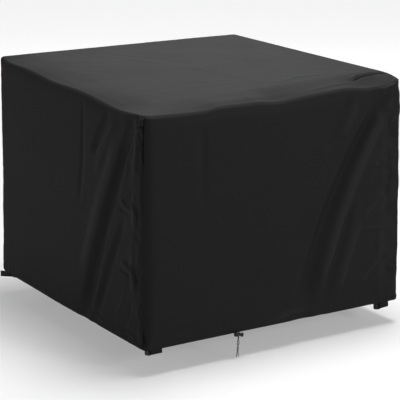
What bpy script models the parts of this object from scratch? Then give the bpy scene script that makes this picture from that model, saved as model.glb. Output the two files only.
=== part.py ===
"""Fitted, box-shaped cover of coated cloth for a square patio dining set.

The cover hangs as it does over its furniture: open at the bottom, with slanting folds under two of its corners.
Metres, +Z up. The origin is under the middle of the top panel, on its inner face. Seen from outside, a place on a
side panel is given by "along", from the panel's left-hand corner, and "drop", down from the top.
"""

from collections import namedtuple
from math import cos, pi, radians, sin, sqrt

import bmesh
import bpy
from mathutils import Matrix, Vector

# ---------------------------------------------------------------- driving dimensions
FACE = 1.200  # width of a side across the top, corner to corner
HALF = FACE / 2
DROP = 0.944  # from the top down to the hem
CLOTH = 0.0016  # thickness of the coated cloth
GAP = 0.0003  # running gap between neighbouring pieces

EDGE_ROLL = 0.016  # radius with which the cloth turns over the top edge
SEAM_TURN = radians(40)  # how far round that turn the top seam lies
SAG_REACH = 0.160  # how far in from an edge its sag is felt on the top

CASING = 0.034  # height of the hem with its cord casing
CASING_THICK = 0.0036  # the hem's layers together
CASING_STEP = 0.006  # height over which the cloth thickens into the hem
HEM_HOLD = 0.130  # height above the hem over which the drawn hem flattens the folds
FOLD_LEFT_AT_HEM = 0.25  # share of a fold's depth that is left at the hem

WEBBING_WIDTH = 0.025
WEBBING_THICK = 0.0016
WEBBING_POCKET = 0.005  # how far the webbing reaches into a buckle half
LOOP_CORNER = 0.008  # radius of a strap loop's bends

BUCKLE_WIDTH = 0.030
BUCKLE_THICK = 0.0090
SOCKET_LENGTH = 0.018
PLUG_LENGTH = 0.0105
TONGUE_LENGTH = 0.009
POCKET_LIP = 0.0022  # wall of a buckle half round its pocket
BUCKLE_EDGE = 0.0010  # rounding of a buckle's edges

LOCK_ALONG = 0.412  # place of the cord lock on the front side
LOCK_DROP = 0.945
LOCK_TILT = radians(12)  # its right-hand end hangs lower
LOCK_RADIUS = 0.0088
NECK_RADIUS = 0.0060
CORD = 0.0030  # diameter of the drawcord
CORD_SPACING = 0.0035  # from cord to cord inside the lock

# ---------------------------------------------------------------- tables
# One row for each side, in order round the cover: the signs of its left-hand corner, the way along it, the way
# out of it, and the corners that it runs between.
Side = namedtuple("Side", "start along out begins ends")
SIDES = {
    "left": Side(start=(-1, 1), along=(0, -1), out=(-1, 0), begins="left", ends="front"),
    "front": Side(start=(-1, -1), along=(1, 0), out=(0, -1), begins="front", ends="right"),
    "right": Side(start=(1, -1), along=(0, 1), out=(1, 0), begins="right", ends="back"),
    "back": Side(start=(1, 1), along=(-1, 0), out=(0, 1), begins="back", ends="left"),
}
SIDE_BEFORE = {"left": "back", "front": "left", "right": "front", "back": "right"}

# Height of the top at each corner, above the middle of the top.
CORNER_HEIGHT = {"left": 0.018, "front": -0.019, "right": 0.009, "back": -0.002}

# The upright corners: radius of the turn, the seam's place in it, from 0 on the side that ends there to 1 on the
# side that begins there, and how far the corner stands out from the square both ways.
CornerRow = namedtuple("CornerRow", "drop radius seam out")
CORNERS = {
    "left": (
        CornerRow(drop=0.000, radius=0.024, seam=0.50, out=0.003),
        CornerRow(drop=0.250, radius=0.022, seam=0.50, out=0.004),
        CornerRow(drop=0.480, radius=0.022, seam=0.50, out=0.005),
        CornerRow(drop=0.700, radius=0.022, seam=0.50, out=0.009),
        CornerRow(drop=DROP, radius=0.026, seam=0.50, out=0.014),
    ),
    "front": (
        CornerRow(drop=0.000, radius=0.034, seam=0.42, out=0.000),
        CornerRow(drop=0.065, radius=0.042, seam=0.25, out=0.001),
        CornerRow(drop=0.175, radius=0.046, seam=0.20, out=0.002),
        CornerRow(drop=0.275, radius=0.050, seam=0.07, out=0.003),
        CornerRow(drop=0.370, radius=0.047, seam=0.08, out=0.004),
        CornerRow(drop=0.520, radius=0.052, seam=0.06, out=0.006),
        CornerRow(drop=0.620, radius=0.059, seam=0.06, out=0.007),
        CornerRow(drop=0.770, radius=0.052, seam=0.06, out=0.008),
        CornerRow(drop=0.870, radius=0.045, seam=0.08, out=0.009),
        CornerRow(drop=DROP, radius=0.024, seam=0.50, out=0.010),
    ),
    "right": (
        CornerRow(drop=0.000, radius=0.036, seam=0.60, out=0.011),
        CornerRow(drop=0.100, radius=0.032, seam=0.60, out=0.014),
        CornerRow(drop=0.480, radius=0.030, seam=0.60, out=0.019),
        CornerRow(drop=0.750, radius=0.030, seam=0.60, out=0.021),
        CornerRow(drop=DROP, radius=0.028, seam=0.60, out=0.0205),
    ),
    "back": (
        CornerRow(drop=0.000, radius=0.026, seam=0.50, out=0.000),
        CornerRow(drop=0.750, radius=0.028, seam=0.50, out=0.007),
        CornerRow(drop=DROP, radius=0.028, seam=0.50, out=0.009),
    ),
}

# How far the top edge sags below the line between its corners.
SagRow = namedtuple("SagRow", "along sag")
SAGS = {
    "left": (
        SagRow(along=0.000, sag=0.000),
        SagRow(along=0.060, sag=0.011),
        SagRow(along=0.240, sag=0.006),
        SagRow(along=0.460, sag=0.012),
        SagRow(along=0.700, sag=0.005),
        SagRow(along=0.980, sag=0.013),
        SagRow(along=FACE, sag=0.000),
    ),
    "front": (
        SagRow(along=0.000, sag=0.000),
        SagRow(along=0.260, sag=0.011),
        SagRow(along=0.350, sag=0.003),
        SagRow(along=0.490, sag=0.007),
        SagRow(along=0.620, sag=0.021),
        SagRow(along=0.740, sag=0.016),
        SagRow(along=0.920, sag=0.013),
        SagRow(along=1.055, sag=0.028),
        SagRow(along=1.120, sag=0.024),
        SagRow(along=FACE, sag=0.006),
    ),
    "right": (
        SagRow(along=0.000, sag=0.006),
        SagRow(along=0.070, sag=-0.002),
        SagRow(along=0.180, sag=0.000),
        SagRow(along=0.420, sag=0.000),
        SagRow(along=0.800, sag=0.000),
        SagRow(along=FACE, sag=0.000),
    ),
    "back": (
        SagRow(along=0.000, sag=0.000),
        SagRow(along=0.550, sag=-0.001),
        SagRow(along=0.900, sag=0.000),
        SagRow(along=FACE, sag=0.000),
    ),
}

# How much higher than DROP the hem ends.
HemRow = namedtuple("HemRow", "along rise")
HEMS = {
    "left": (
        HemRow(along=0.000, rise=0.0110),
        HemRow(along=0.250, rise=0.0080),
        HemRow(along=0.500, rise=0.0045),
        HemRow(along=FACE, rise=0.0050),
    ),
    "front": (
        HemRow(along=0.000, rise=0.0050),
        HemRow(along=0.450, rise=0.0050),
        HemRow(along=0.800, rise=0.0030),
        HemRow(along=FACE, rise=0.0010),
    ),
    "right": (HemRow(along=0.000, rise=0.0010), HemRow(along=FACE, rise=0.0)),
    "back": (
        HemRow(along=0.000, rise=0.0),
        HemRow(along=0.900, rise=0.0060),
        HemRow(along=FACE, rise=0.0110),
    ),
}

# Long folds that run down a side: the middle line at its top, half way and at its foot, the half widths at top and
# foot, and how far it stands out. A trough stands in, so its depth is below zero.
Fold = namedtuple("Fold", "top_along top_drop mid_along mid_drop foot_along foot_drop top_half foot_half depth")
FOLDS = {
    "left": (
        Fold(1.118, 0.030, 0.908, 0.460, 0.735, 0.930, 0.042, 0.062, -0.018),
        Fold(1.050, 0.430, 0.905, 0.725, 0.815, 0.930, 0.035, 0.045, -0.010),
        Fold(0.935, 0.030, 0.868, 0.125, 0.810, 0.225, 0.034, 0.034, -0.008),
        Fold(0.995, 0.050, 0.905, 0.180, 0.835, 0.300, 0.036, 0.040, 0.004),
        Fold(0.731, 0.030, 0.722, 0.250, 0.690, 0.470, 0.020, 0.030, -0.003),
    ),
    "front": (
        Fold(1.140, 0.040, 0.905, 0.500, 0.785, 0.930, 0.040, 0.060, -0.020),
        Fold(1.030, 0.470, 0.935, 0.720, 0.870, 0.935, 0.030, 0.042, -0.012),
        Fold(0.990, 0.040, 0.945, 0.130, 0.892, 0.240, 0.034, 0.034, -0.007),
        Fold(1.030, 0.330, 0.925, 0.560, 0.838, 0.800, 0.026, 0.034, 0.004),
        Fold(1.130, 0.080, 1.110, 0.480, 1.060, 0.930, 0.060, 0.110, -0.006),
        Fold(0.254, 0.060, 0.256, 0.210, 0.252, 0.400, 0.030, 0.036, -0.003),
    ),
    "right": (
        Fold(0.080, 0.060, 0.240, 0.500, 0.380, 0.930, 0.045, 0.070, -0.014),
        Fold(0.200, 0.520, 0.290, 0.730, 0.340, 0.930, 0.040, 0.050, 0.004),
    ),
    "back": (
        Fold(0.090, 0.060, 0.230, 0.500, 0.400, 0.930, 0.045, 0.070, -0.012),
        Fold(0.330, 0.040, 0.370, 0.200, 0.400, 0.400, 0.040, 0.050, -0.005),
    ),
}

# Short hollows where the cloth is gathered just above the hem.
Pucker = namedtuple("Pucker", "along drop half_along half_drop depth")
PUCKERS = {
    "left": (
        Pucker(along=0.825, drop=0.900, half_along=0.080, half_drop=0.034, depth=-0.005),
        Pucker(along=1.065, drop=0.900, half_along=0.080, half_drop=0.032, depth=-0.005),
    ),
    "front": (
        Pucker(along=0.660, drop=0.890, half_along=0.105, half_drop=0.036, depth=-0.006),
        Pucker(along=0.165, drop=0.896, half_along=0.060, half_drop=0.028, depth=-0.004),
    ),
    "right": (Pucker(along=0.420, drop=0.895, half_along=0.090, half_drop=0.034, depth=-0.004),),
    "back": (Pucker(along=0.300, drop=0.895, half_along=0.090, half_drop=0.034, depth=-0.004),),
}

# The drawn-up hem at one corner.
HEM_LIFT = {"left": 0.020, "front": 0.0, "right": 0.0, "back": 0.0}
LIFT_REACH = 0.040
LIFT_HEIGHT = 0.150

# Where the grid lines of a side lie. They lean with the first fold of the side: the far ones are shares of the way
# from the farther corner to that fold, the near ones shares of the way on from it to the nearer corner.
Lines = namedtuple("Lines", "far near")
LINES = {
    "left": Lines(
        far=(0.07, 0.20, 0.32, 0.44, 0.55, 0.63, 0.69, 0.735, 0.78, 0.83, 0.88, 0.91, 0.935, 0.955, 0.975, 1.0),
        near=(0.08, 0.17, 0.26, 0.37, 0.49, 0.60, 0.72, 0.86),
    ),
    "front": Lines(
        far=(0.07, 0.16, 0.215, 0.25, 0.285, 0.37, 0.50, 0.62, 0.72, 0.80, 0.85, 0.885, 0.92, 0.95, 0.972, 1.0),
        near=(0.08, 0.16, 0.24, 0.33, 0.43, 0.53, 0.64, 0.75, 0.87),
    ),
}
LINES["right"], LINES["back"] = LINES["left"], LINES["front"]
MIRRORED = ("right", "back")  # sides whose folds start at the left-hand corner
ROW_BREAKS = (0.080, 0.250, 0.420, 0.580, 0.750, DROP - CASING - CASING_STEP)
ROWS_BETWEEN = 3  # finer rows on the two sides with the deep folds
ARC_STEPS = 3  # grid steps from a corner's seam to the flat of the side

# The strap loops: the side that one is sewn to, its middle, its half sizes, the height of its lap against the inside
# of the hem, how much lower its inner side and its left-hand end hang, and where its buckle is.
StrapRow = namedtuple("StrapRow", "side along half_along half_inward lap sink_inner sink_end buckle")
STRAPS = {
    "left": StrapRow("left", 0.018, 0.042, 0.026, lap=0.008, sink_inner=0.012, sink_end=0.022, buckle="inner"),
    "front": StrapRow("front", 0.053, 0.0260, 0.0260, lap=0.006, sink_inner=0.012, sink_end=0.0, buckle="low"),
    "right": StrapRow("front", 1.129, 0.0230, 0.0230, lap=0.001, sink_inner=0.012, sink_end=0.004, buckle="low"),
    "back": StrapRow("back", 0.053, 0.0260, 0.0260, lap=0.006, sink_inner=0.012, sink_end=0.0, buckle="low"),
}

# The cord lock, turned about its length: from its left-hand end to its right-hand end.
TurnRow = namedtuple("TurnRow", "x radius")
LOCK_BODY_ROWS = (
    TurnRow(x=-0.0185, radius=0.0074),
    TurnRow(x=-0.0176, radius=0.0084),
    TurnRow(x=-0.0160, radius=LOCK_RADIUS),
    TurnRow(x=-0.0088, radius=LOCK_RADIUS),
    TurnRow(x=-0.0062, radius=NECK_RADIUS + 0.0008),
    TurnRow(x=-0.0050, radius=NECK_RADIUS),
    TurnRow(x=0.0060, radius=NECK_RADIUS),
)
LOCK_BUTTON_ROWS = (
    TurnRow(x=0.0063, radius=0.0050),
    TurnRow(x=0.0080, radius=0.0056),
    TurnRow(x=0.0100, radius=0.0070),
    TurnRow(x=0.0172, radius=LOCK_RADIUS),
    TurnRow(x=0.0185, radius=0.0080),
)

# The way of the cords out of the hem and down into the lock: distance from the hem, height above the lock's middle.
LeadRow = namedtuple("LeadRow", "out up")
LEAD_ROWS = (
    LeadRow(out=0.0000, up=0.0135),
    LeadRow(out=0.0032, up=0.0137),
    LeadRow(out=0.0066, up=0.0122),
    LeadRow(out=0.0086, up=0.0090),
)
LOCK_UPS = (0.0050, 0.0, -0.0050, -0.0095)  # heights of the cords' points inside the lock

# The two cord ends, down from the lock: distance below its middle, distance of each cord from their shared middle
# line, and how far cord a lies in front of it.
TailRow = namedtuple("TailRow", "below spread front")
TAIL_ROWS = (
    TailRow(below=0.015, spread=-0.0019, front=0.0004),
    TailRow(below=0.022, spread=-0.0002, front=0.0019),
    TailRow(below=0.029, spread=0.0026, front=0.0012),
    TailRow(below=0.036, spread=0.0038, front=0.0000),
    TailRow(below=0.042, spread=0.0028, front=-0.0010),
    TailRow(below=0.049, spread=0.0004, front=-0.0019),
    TailRow(below=0.056, spread=-0.0014, front=-0.0014),
    TailRow(below=0.064, spread=-0.0020, front=0.0000),
    TailRow(below=0.073, spread=-0.0026, front=0.0000),
    TailRow(below=0.083, spread=-0.0036, front=0.0000),
    TailRow(below=0.093, spread=-0.0048, front=0.0000),
)
TAIL_LEAN = 0.070  # sideways for each metre down, as the tails hang
TAIL_STEP = 0.0070  # distance between the points of a cord
CORD_SIDES = 2  # bevel resolution of a cord

# ---------------------------------------------------------------- finishes: colour, roughness, metallic
Finish = namedtuple("Finish", "colour roughness metallic")
FINISHES = {
    "coated_cloth": Finish(colour=(0.020, 0.020, 0.021), roughness=0.55, metallic=0.0),
    "webbing": Finish(colour=(0.012, 0.012, 0.012), roughness=0.80, metallic=0.0),
    "buckle_plastic": Finish(colour=(0.010, 0.010, 0.010), roughness=0.35, metallic=0.0),
    "lock_plastic": Finish(colour=(0.010, 0.010, 0.010), roughness=0.30, metallic=0.0),
    "drawcord": Finish(colour=(0.030, 0.030, 0.030), roughness=0.75, metallic=0.0),
}


# ---------------------------------------------------------------- small helpers
def ease(share):
    """A smooth step from 0 to 1."""
    share = min(max(share, 0.0), 1.0)
    return share * share * (3 - 2 * share)


def bump(distance, reach):
    """1 at no distance, falling softly to 0 at the reach."""
    return cos(pi / 2 * distance / reach) ** 2 if abs(distance) < reach else 0.0


def between(rows, key, value, column, soft=False):
    """Reads a table between its rows, in straight lines or softly."""
    if value <= getattr(rows[0], key):
        return getattr(rows[0], column)
    for low, high in zip(rows, rows[1:]):
        start, end = getattr(low, key), getattr(high, key)
        if value <= end:
            share = (value - start) / (end - start)
            share = ease(share) if soft else share
            return getattr(low, column) * (1 - share) + getattr(high, column) * share
    return getattr(rows[-1], column)


def flat(pair):
    """A pair of numbers as a level vector."""
    return Vector((pair[0], pair[1], 0.0))


# ---------------------------------------------------------------- the hanging shape
def roll_inset(drop):
    """How far the turn over the top edge stands in, at a drop."""
    if drop >= EDGE_ROLL:
        return 0.0
    return EDGE_ROLL - sqrt(EDGE_ROLL**2 - (EDGE_ROLL - drop) ** 2)


def roll_drop(inset):
    """How far the turn over the top edge has come down, at an inset."""
    if inset >= EDGE_ROLL:
        return 0.0
    return EDGE_ROLL - sqrt(EDGE_ROLL**2 - (EDGE_ROLL - inset) ** 2)


def roll_angle(drop):
    """How far the cloth has turned from level to upright, at a drop."""
    inset = roll_inset(drop)
    return pi / 2 if inset == 0.0 else Vector((EDGE_ROLL - drop, EDGE_ROLL - inset)).angle_signed(Vector((1.0, 0.0)))


SEAM_DROP = EDGE_ROLL * (1 - cos(SEAM_TURN))


def corner_point(name, drop):
    """The sharp corner of the cover's outline at a drop, before it is rounded."""
    return flat(SIDES[name].start) * (HALF + between(CORNERS[name], "drop", drop, "out", soft=True))


def arc_station(name, turn, drop):
    """A point of an upright corner's turn and the way out there. The turn runs from 0 to 1."""
    ending, beginning = flat(SIDES[SIDE_BEFORE[name]].out), flat(SIDES[name].out)
    radius = between(CORNERS[name], "drop", drop, "radius")
    middle = corner_point(name, drop) - (ending + beginning) * radius
    out = ending * cos(turn * pi / 2) + beginning * sin(turn * pi / 2)
    return middle + out * (radius - roll_inset(drop)), out


def side_station(name, along, drop):
    """A point on the flat of a side and the way out there."""
    side = SIDES[name]
    first, last = corner_point(side.begins, drop), corner_point(side.ends, drop)
    out = flat(side.out)
    return first.lerp(last, along / FACE) - out * roll_inset(drop), out


def fold_middle(fold, drop):
    """Where a fold's middle line lies at a drop: a curve through its three points."""
    drops = (fold.top_drop, fold.mid_drop, fold.foot_drop)
    alongs = (fold.top_along, fold.mid_along, fold.foot_along)
    total = 0.0
    for index, along in enumerate(alongs):
        weight = 1.0
        for other, other_drop in enumerate(drops):
            if other != index:
                weight *= (drop - other_drop) / (drops[index] - other_drop)
        total += along * weight
    return total


def fold_relief(name, along, drop):
    """How far the folds of a side stand out at a place on it."""
    relief = 0.0
    for fold in FOLDS[name]:
        share = (drop - fold.top_drop) / (fold.foot_drop - fold.top_drop)
        strength = ease((share + 0.06) / 0.22)
        if fold.foot_drop < DROP - CASING:
            strength *= ease((1.08 - share) / 0.30)
        half = fold.top_half + (fold.foot_half - fold.top_half) * min(max(share, 0.0), 1.0)
        relief += fold.depth * strength * bump(along - fold_middle(fold, drop), half)
    for pucker in PUCKERS[name]:
        relief += pucker.depth * bump(along - pucker.along, pucker.half_along) * bump(
            drop - pucker.drop, pucker.half_drop
        )
    held = ease((drop - (DROP - HEM_HOLD)) / (HEM_HOLD - CASING))
    return relief * (1 - held * (1 - FOLD_LEFT_AT_HEM))


def top_height(place):
    """Height of the top's outer face over a place, without the turn at its edges."""
    across, back = (place.x + HALF) / FACE, (place.y + HALF) / FACE
    height = (
        CORNER_HEIGHT["front"] * (1 - across) * (1 - back)
        + CORNER_HEIGHT["right"] * across * (1 - back)
        + CORNER_HEIGHT["left"] * (1 - across) * back
        + CORNER_HEIGHT["back"] * across * back
    )
    height -= sum(CORNER_HEIGHT.values()) / len(CORNER_HEIGHT)
    for name, side in SIDES.items():
        along = (place - flat(side.start) * HALF).dot(flat(side.along))
        inward = HALF - place.dot(flat(side.out))
        sag = between(SAGS[name], "along", along, "sag", soft=True)
        height -= sag * (1 - ease(inward / SAG_REACH))
    return height + CLOTH


def hem_lift(name, distance, drop):
    """How far the hem is drawn up near a corner."""
    return HEM_LIFT[name] * bump(distance, LIFT_REACH) * ease((drop - (DROP - LIFT_HEIGHT)) / LIFT_HEIGHT)


def hem_rise(name, place):
    """How much higher than DROP the hem of a side ends over a place."""
    side = SIDES[name]
    return between(HEMS[name], "along", (place - flat(side.start) * HALF).dot(flat(side.along)), "rise")


def thickness_at(drop):
    """Thickness of the cloth, which grows where it is folded into the hem."""
    return CLOTH + (CASING_THICK - CLOTH) * ease((drop - (DROP - CASING - CASING_STEP)) / CASING_STEP)


# A grid line of a side is a pair: its kind ("begins", "far", "near" or "ends") and its value. The value of a
# corner's line is the share of the way from the flat of the side, at 0, to the seam, at 1.
def grid_lines(name):
    """The grid lines of a side, from its left-hand seam to its right-hand seam."""
    flats = [("far", share) for share in LINES[name].far] + [("near", share) for share in LINES[name].near]
    if name in MIRRORED:
        flats.reverse()
    shares = [index / ARC_STEPS for index in range(ARC_STEPS + 1)]
    begins = [("begins", share) for share in reversed(shares)]
    ends = [("ends", share) for share in shares]
    return begins + flats + ends


def line_along(name, line, drop):
    """Where a leaning grid line lies at a drop, between the rounded corners."""
    kind, share = line
    side = SIDES[name]
    first = between(CORNERS[side.begins], "drop", drop, "radius")
    last = FACE - between(CORNERS[side.ends], "drop", drop, "radius")
    guide = fold_middle(FOLDS[name][0], min(max(drop, FOLDS[name][0].top_drop), FOLDS[name][0].foot_drop))
    far_end, near_end = (last, first) if name in MIRRORED else (first, last)
    start, end = (far_end, guide) if kind == "far" else (guide, near_end)
    return start + (end - start) * share


def outline(name, line, drop):
    """A point of the cover's outline on a side's grid line, the way out, the along and the relief there."""
    kind, value = line
    if kind in ("far", "near"):
        along = line_along(name, line, drop)
        point, out = side_station(name, along, drop)
        return point, out, fold_relief(name, along, drop)
    corner = SIDES[name].begins if kind == "begins" else SIDES[name].ends
    seam = between(CORNERS[corner], "drop", drop, "seam")
    turn = 1 + (seam - 1) * value if kind == "begins" else seam * value
    point, out = arc_station(corner, turn, drop)
    radius = between(CORNERS[corner], "drop", drop, "radius")
    before, after = SIDE_BEFORE[corner], corner
    ending = fold_relief(before, FACE - radius * (1 - sin(turn * pi / 2)), drop)
    beginning = fold_relief(after, radius * (1 - cos(turn * pi / 2)), drop)
    return point, out, ending * (1 - turn) + beginning * turn


def seam_station(name, line):
    """The place of the top seam on a side's grid line, and the way out there."""
    place, out, relief = outline(name, line, SEAM_DROP)
    return place + out * relief, out


def side_point(name, line, drop):
    """A point of a side's outer face, and the way out of the cloth there."""
    place, out, relief = outline(name, line, drop)
    edge = seam_station(name, line)[0]
    turn = roll_angle(drop)
    facing = out * sin(turn) + Vector((0, 0, cos(turn)))
    lift = 0.0
    for corner in (SIDES[name].begins, SIDES[name].ends):
        distance = (place - corner_point(corner, drop)).length
        lift += hem_lift(corner, distance, drop)
    height = top_height(edge) * (1 - drop / DROP) + hem_rise(name, place) * drop / DROP - drop + lift
    return place + out * relief + Vector((0, 0, height)), facing


# ---------------------------------------------------------------- meshes
def make_object(name, mesh, finish):
    """An object of its own for a mesh, with its material."""
    mesh.materials.append(bpy.data.materials[finish])
    made = bpy.data.objects.new(name, mesh)
    bpy.context.collection.objects.link(made)
    return made


def mesh_from(name, bm, smooth=40):
    """Turns a bmesh into a mesh with its faces pointing out and its round parts smooth."""
    bmesh.ops.recalc_face_normals(bm, faces=bm.faces)
    mesh = bpy.data.meshes.new(name)
    bm.to_mesh(mesh)
    bm.free()
    mesh.shade_smooth()
    mesh.set_sharp_from_angle(angle=radians(smooth))
    return mesh


def closed_sheet(name, outer, inner, finish):
    """A sheet of cloth: two grids of points, an outer and an inner face, joined round their rim."""
    bm = bmesh.new()
    faces = [[[bm.verts.new(point) for point in row] for row in grid] for grid in (outer, inner)]
    rows, columns = len(outer), len(outer[0])
    for grid, turned in zip(faces, (False, True)):
        for row in range(rows - 1):
            for column in range(columns - 1):
                corners = [
                    grid[row][column],
                    grid[row + 1][column],
                    grid[row + 1][column + 1],
                    grid[row][column + 1],
                ]
                bm.faces.new(reversed(corners) if turned else corners)
    rim = [(0, column) for column in range(columns)]
    rim += [(row, columns - 1) for row in range(1, rows)]
    rim += [(rows - 1, column) for column in range(columns - 2, -1, -1)]
    rim += [(row, 0) for row in range(rows - 2, 0, -1)]
    for (row, column), (next_row, next_column) in zip(rim, rim[1:] + rim[:1]):
        bm.faces.new(
            (
                faces[0][row][column],
                faces[0][next_row][next_column],
                faces[1][next_row][next_column],
                faces[1][row][column],
            )
        )
    return make_object(name, mesh_from(name, bm), finish)


def side_rows(fine):
    """The drops of a side's grid rows, from the top seam to the hem."""
    turns = [SEAM_TURN, (SEAM_TURN + pi / 2) / 2, pi / 2]
    drops = [EDGE_ROLL * (1 - cos(turn)) for turn in turns]
    breaks = [drops[-1], *ROW_BREAKS]
    for low, high in zip(breaks, breaks[1:]):
        steps = ROWS_BETWEEN if fine else 1
        drops += [low + (high - low) * (step + 1) / steps for step in range(steps)]
    return drops + [DROP - CASING, DROP - CASING / 2, DROP]


def side_panel(name):
    """One of the four side panels, from seam to seam and from the top seam to the hem."""
    lines = grid_lines(name)
    outer, inner = [], []
    for drop in side_rows(fine=name in ("left", "front")):
        outer_row, inner_row = [], []
        for line in lines:
            point, facing = side_point(name, line, drop)
            level_out = flat(facing).normalized()
            sideways = Vector((-level_out.y, level_out.x, 0))
            if line == lines[0]:
                point = point + sideways * GAP / 2
            if line == lines[-1]:
                point = point - sideways * GAP / 2
            if drop == SEAM_DROP:
                point = point + (level_out * cos(SEAM_TURN) - Vector((0, 0, sin(SEAM_TURN)))) * GAP / 2
            outer_row.append(point)
            inner_row.append(point - facing * thickness_at(drop))
        outer.append(outer_row)
        inner.append(inner_row)
    return closed_sheet("side_panel_" + name, outer, inner, "coated_cloth")


def edge_inset(place):
    """How far in from the rounded outline of the top a place lies."""
    insets = []
    for side in SIDES.values():
        share = (place - flat(side.start) * HALF).dot(flat(side.along)) / FACE
        edge = corner_point(side.begins, 0.0).lerp(corner_point(side.ends, 0.0), share)
        insets.append((edge - place).dot(flat(side.out)))
    inset = min(insets)
    for name, side in SIDES.items():
        radius = CORNERS[name][0].radius
        reach = place - corner_point(name, 0.0) + flat(side.start) * radius
        if reach.x * side.start[0] > 0 and reach.y * side.start[1] > 0:
            inset = radius - reach.length
    return max(inset, 0.0)


def top_edge(name):
    """The top seam on a side: the places along it and the way out at each."""
    return [seam_station(name, line) for line in grid_lines(name)]


def top_panel():
    """The top panel, turned down over its edges to the seam, on a grid between the four seams."""
    front, back = top_edge("front"), top_edge("back")[::-1]
    left, right = top_edge("left")[::-1], top_edge("right")
    rows, columns = len(left), len(front)
    outer, inner = [], []
    for row in range(rows):
        up = (left[row][0].y - left[0][0].y) / (left[-1][0].y - left[0][0].y)
        outer_row, inner_row = [], []
        for column in range(columns):
            across = (front[column][0].x - front[0][0].x) / (front[-1][0].x - front[0][0].x)
            if row in (0, rows - 1):
                place, out = (front, back)[row > 0][column]
            elif column in (0, columns - 1):
                place, out = (left, right)[column > 0][row]
            else:
                low, high = front[0][0].lerp(front[-1][0], across), back[0][0].lerp(back[-1][0], across)
                place = front[column][0].lerp(back[column][0], up)
                place = place + left[row][0].lerp(right[row][0], across) - low.lerp(high, up)
                out = None
            drop = roll_drop(edge_inset(place)) if out is None else SEAM_DROP
            point = place + Vector((0, 0, top_height(place) * (1 - drop / DROP) - drop))
            facing = Vector((0, 0, 1))
            if out is not None:
                point = point - (out * cos(SEAM_TURN) - Vector((0, 0, sin(SEAM_TURN)))) * GAP / 2
                facing = out * sin(SEAM_TURN) + Vector((0, 0, cos(SEAM_TURN)))
            outer_row.append(point)
            inner_row.append(point - facing * CLOTH)
        outer.append(outer_row)
        inner.append(inner_row)
    return closed_sheet("top_panel", outer[::-1], inner[::-1], "coated_cloth")


# ---------------------------------------------------------------- straps and buckles
def loop_point(strap, distance):
    """A point of a strap loop and its direction, in along, inward and drop, at a distance round it."""
    flat_along = strap.half_along - LOOP_CORNER
    flat_inward = strap.half_inward - LOOP_CORNER
    bend = LOOP_CORNER * pi / 2
    place, heading = Vector((strap.half_along, 0.0)), Vector((0.0, 1.0))
    stretches = [flat_inward, bend, 2 * flat_along, bend, 2 * flat_inward, bend, 2 * flat_along, bend, flat_inward]
    for index, stretch in enumerate(stretches):
        part = min(distance, stretch)
        if index % 2:
            side = Vector((-heading.y, heading.x))
            angle = part / LOOP_CORNER
            place = place + heading * sin(angle) * LOOP_CORNER + side * (1 - cos(angle)) * LOOP_CORNER
            heading = heading * cos(angle) + side * sin(angle)
        else:
            place = place + heading * part
        distance -= part
        if distance <= 0:
            break
    return place, heading


def loop_length(strap):
    """The length once round a strap loop."""
    straight = 4 * (strap.half_along + strap.half_inward - 2 * LOOP_CORNER)
    return straight + 2 * pi * LOOP_CORNER


def buckle_start(strap):
    """The distance round the loop at which the middle of the buckle lies."""
    quarter = (strap.half_along + strap.half_inward - 2 * LOOP_CORNER) + LOOP_CORNER * pi / 2
    return {"high": 0.0, "inner": quarter, "low": 2 * quarter}[strap.buckle]


def strap_frame(strap, distance):
    """The world place on a strap loop's middle line, and the ways along it, out of its face and up its width."""
    side = SIDES[strap.side]
    local, heading = loop_point(strap, distance % loop_length(strap))
    outer, out = side_station(strap.side, strap.along + local.x, DROP)
    to_middle = CASING_THICK + GAP + WEBBING_THICK / 2 + strap.half_inward + local.y
    ends = (strap.along - strap.half_along, strap.along, strap.along + strap.half_along)
    to_middle -= min(fold_relief(strap.side, along, DROP) for along in ends)
    inner_share = (local.y + strap.half_inward) / (2 * strap.half_inward)
    end_share = (strap.half_along - local.x) / (2 * strap.half_along)
    sunk = strap.sink_inner * inner_share + strap.sink_end * end_share
    height = hem_rise(strap.side, outer) - DROP + strap.lap - WEBBING_WIDTH / 2 - sunk
    place = outer - out * to_middle + Vector((0, 0, height))
    slope = strap.sink_end * heading.x / (2 * strap.half_along)
    slope -= strap.sink_inner * heading.y / (2 * strap.half_inward)
    along = (flat(side.along) * heading.x - out * heading.y + Vector((0, 0, slope))).normalized()
    face = along.cross(Vector((0, 0, 1))).normalized()
    return place, along, face, face.cross(along)


BUCKLE_SPAN = SOCKET_LENGTH + PLUG_LENGTH + GAP


def strap_band(corner):
    """The webbing of one strap: round its loop from one buckle half to the other."""
    strap = STRAPS[corner]
    covered = BUCKLE_SPAN / 2 - WEBBING_POCKET
    start = buckle_start(strap) + covered
    length = loop_length(strap) - 2 * covered
    steps = round(length / (LOOP_CORNER * pi / 8))
    outer, inner = [], []
    for step in range(steps + 1):
        place, _, face, width = strap_frame(strap, start + length * step / steps)
        edge = width * WEBBING_WIDTH / 2
        outer.append([place + face * WEBBING_THICK / 2 + edge, place + face * WEBBING_THICK / 2 - edge])
        inner.append([place - face * WEBBING_THICK / 2 + edge, place - face * WEBBING_THICK / 2 - edge])
    return closed_sheet("strap_" + corner, outer, inner, "webbing")


def buckle_block(length, width, thick):
    """A block whose length runs along X from 0, to be given its pockets."""
    bm = bmesh.new()
    bmesh.ops.create_cube(bm, size=1.0)
    bmesh.ops.scale(bm, vec=(length, thick, width), verts=bm.verts)
    bmesh.ops.translate(bm, vec=(length / 2, 0, 0), verts=bm.verts)
    return bm


def end_face(bm, way):
    """The face of a block that looks along +X or -X."""
    bm.normal_update()
    return max(bm.faces, key=lambda face: face.normal.x * way + face.calc_area())


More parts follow.
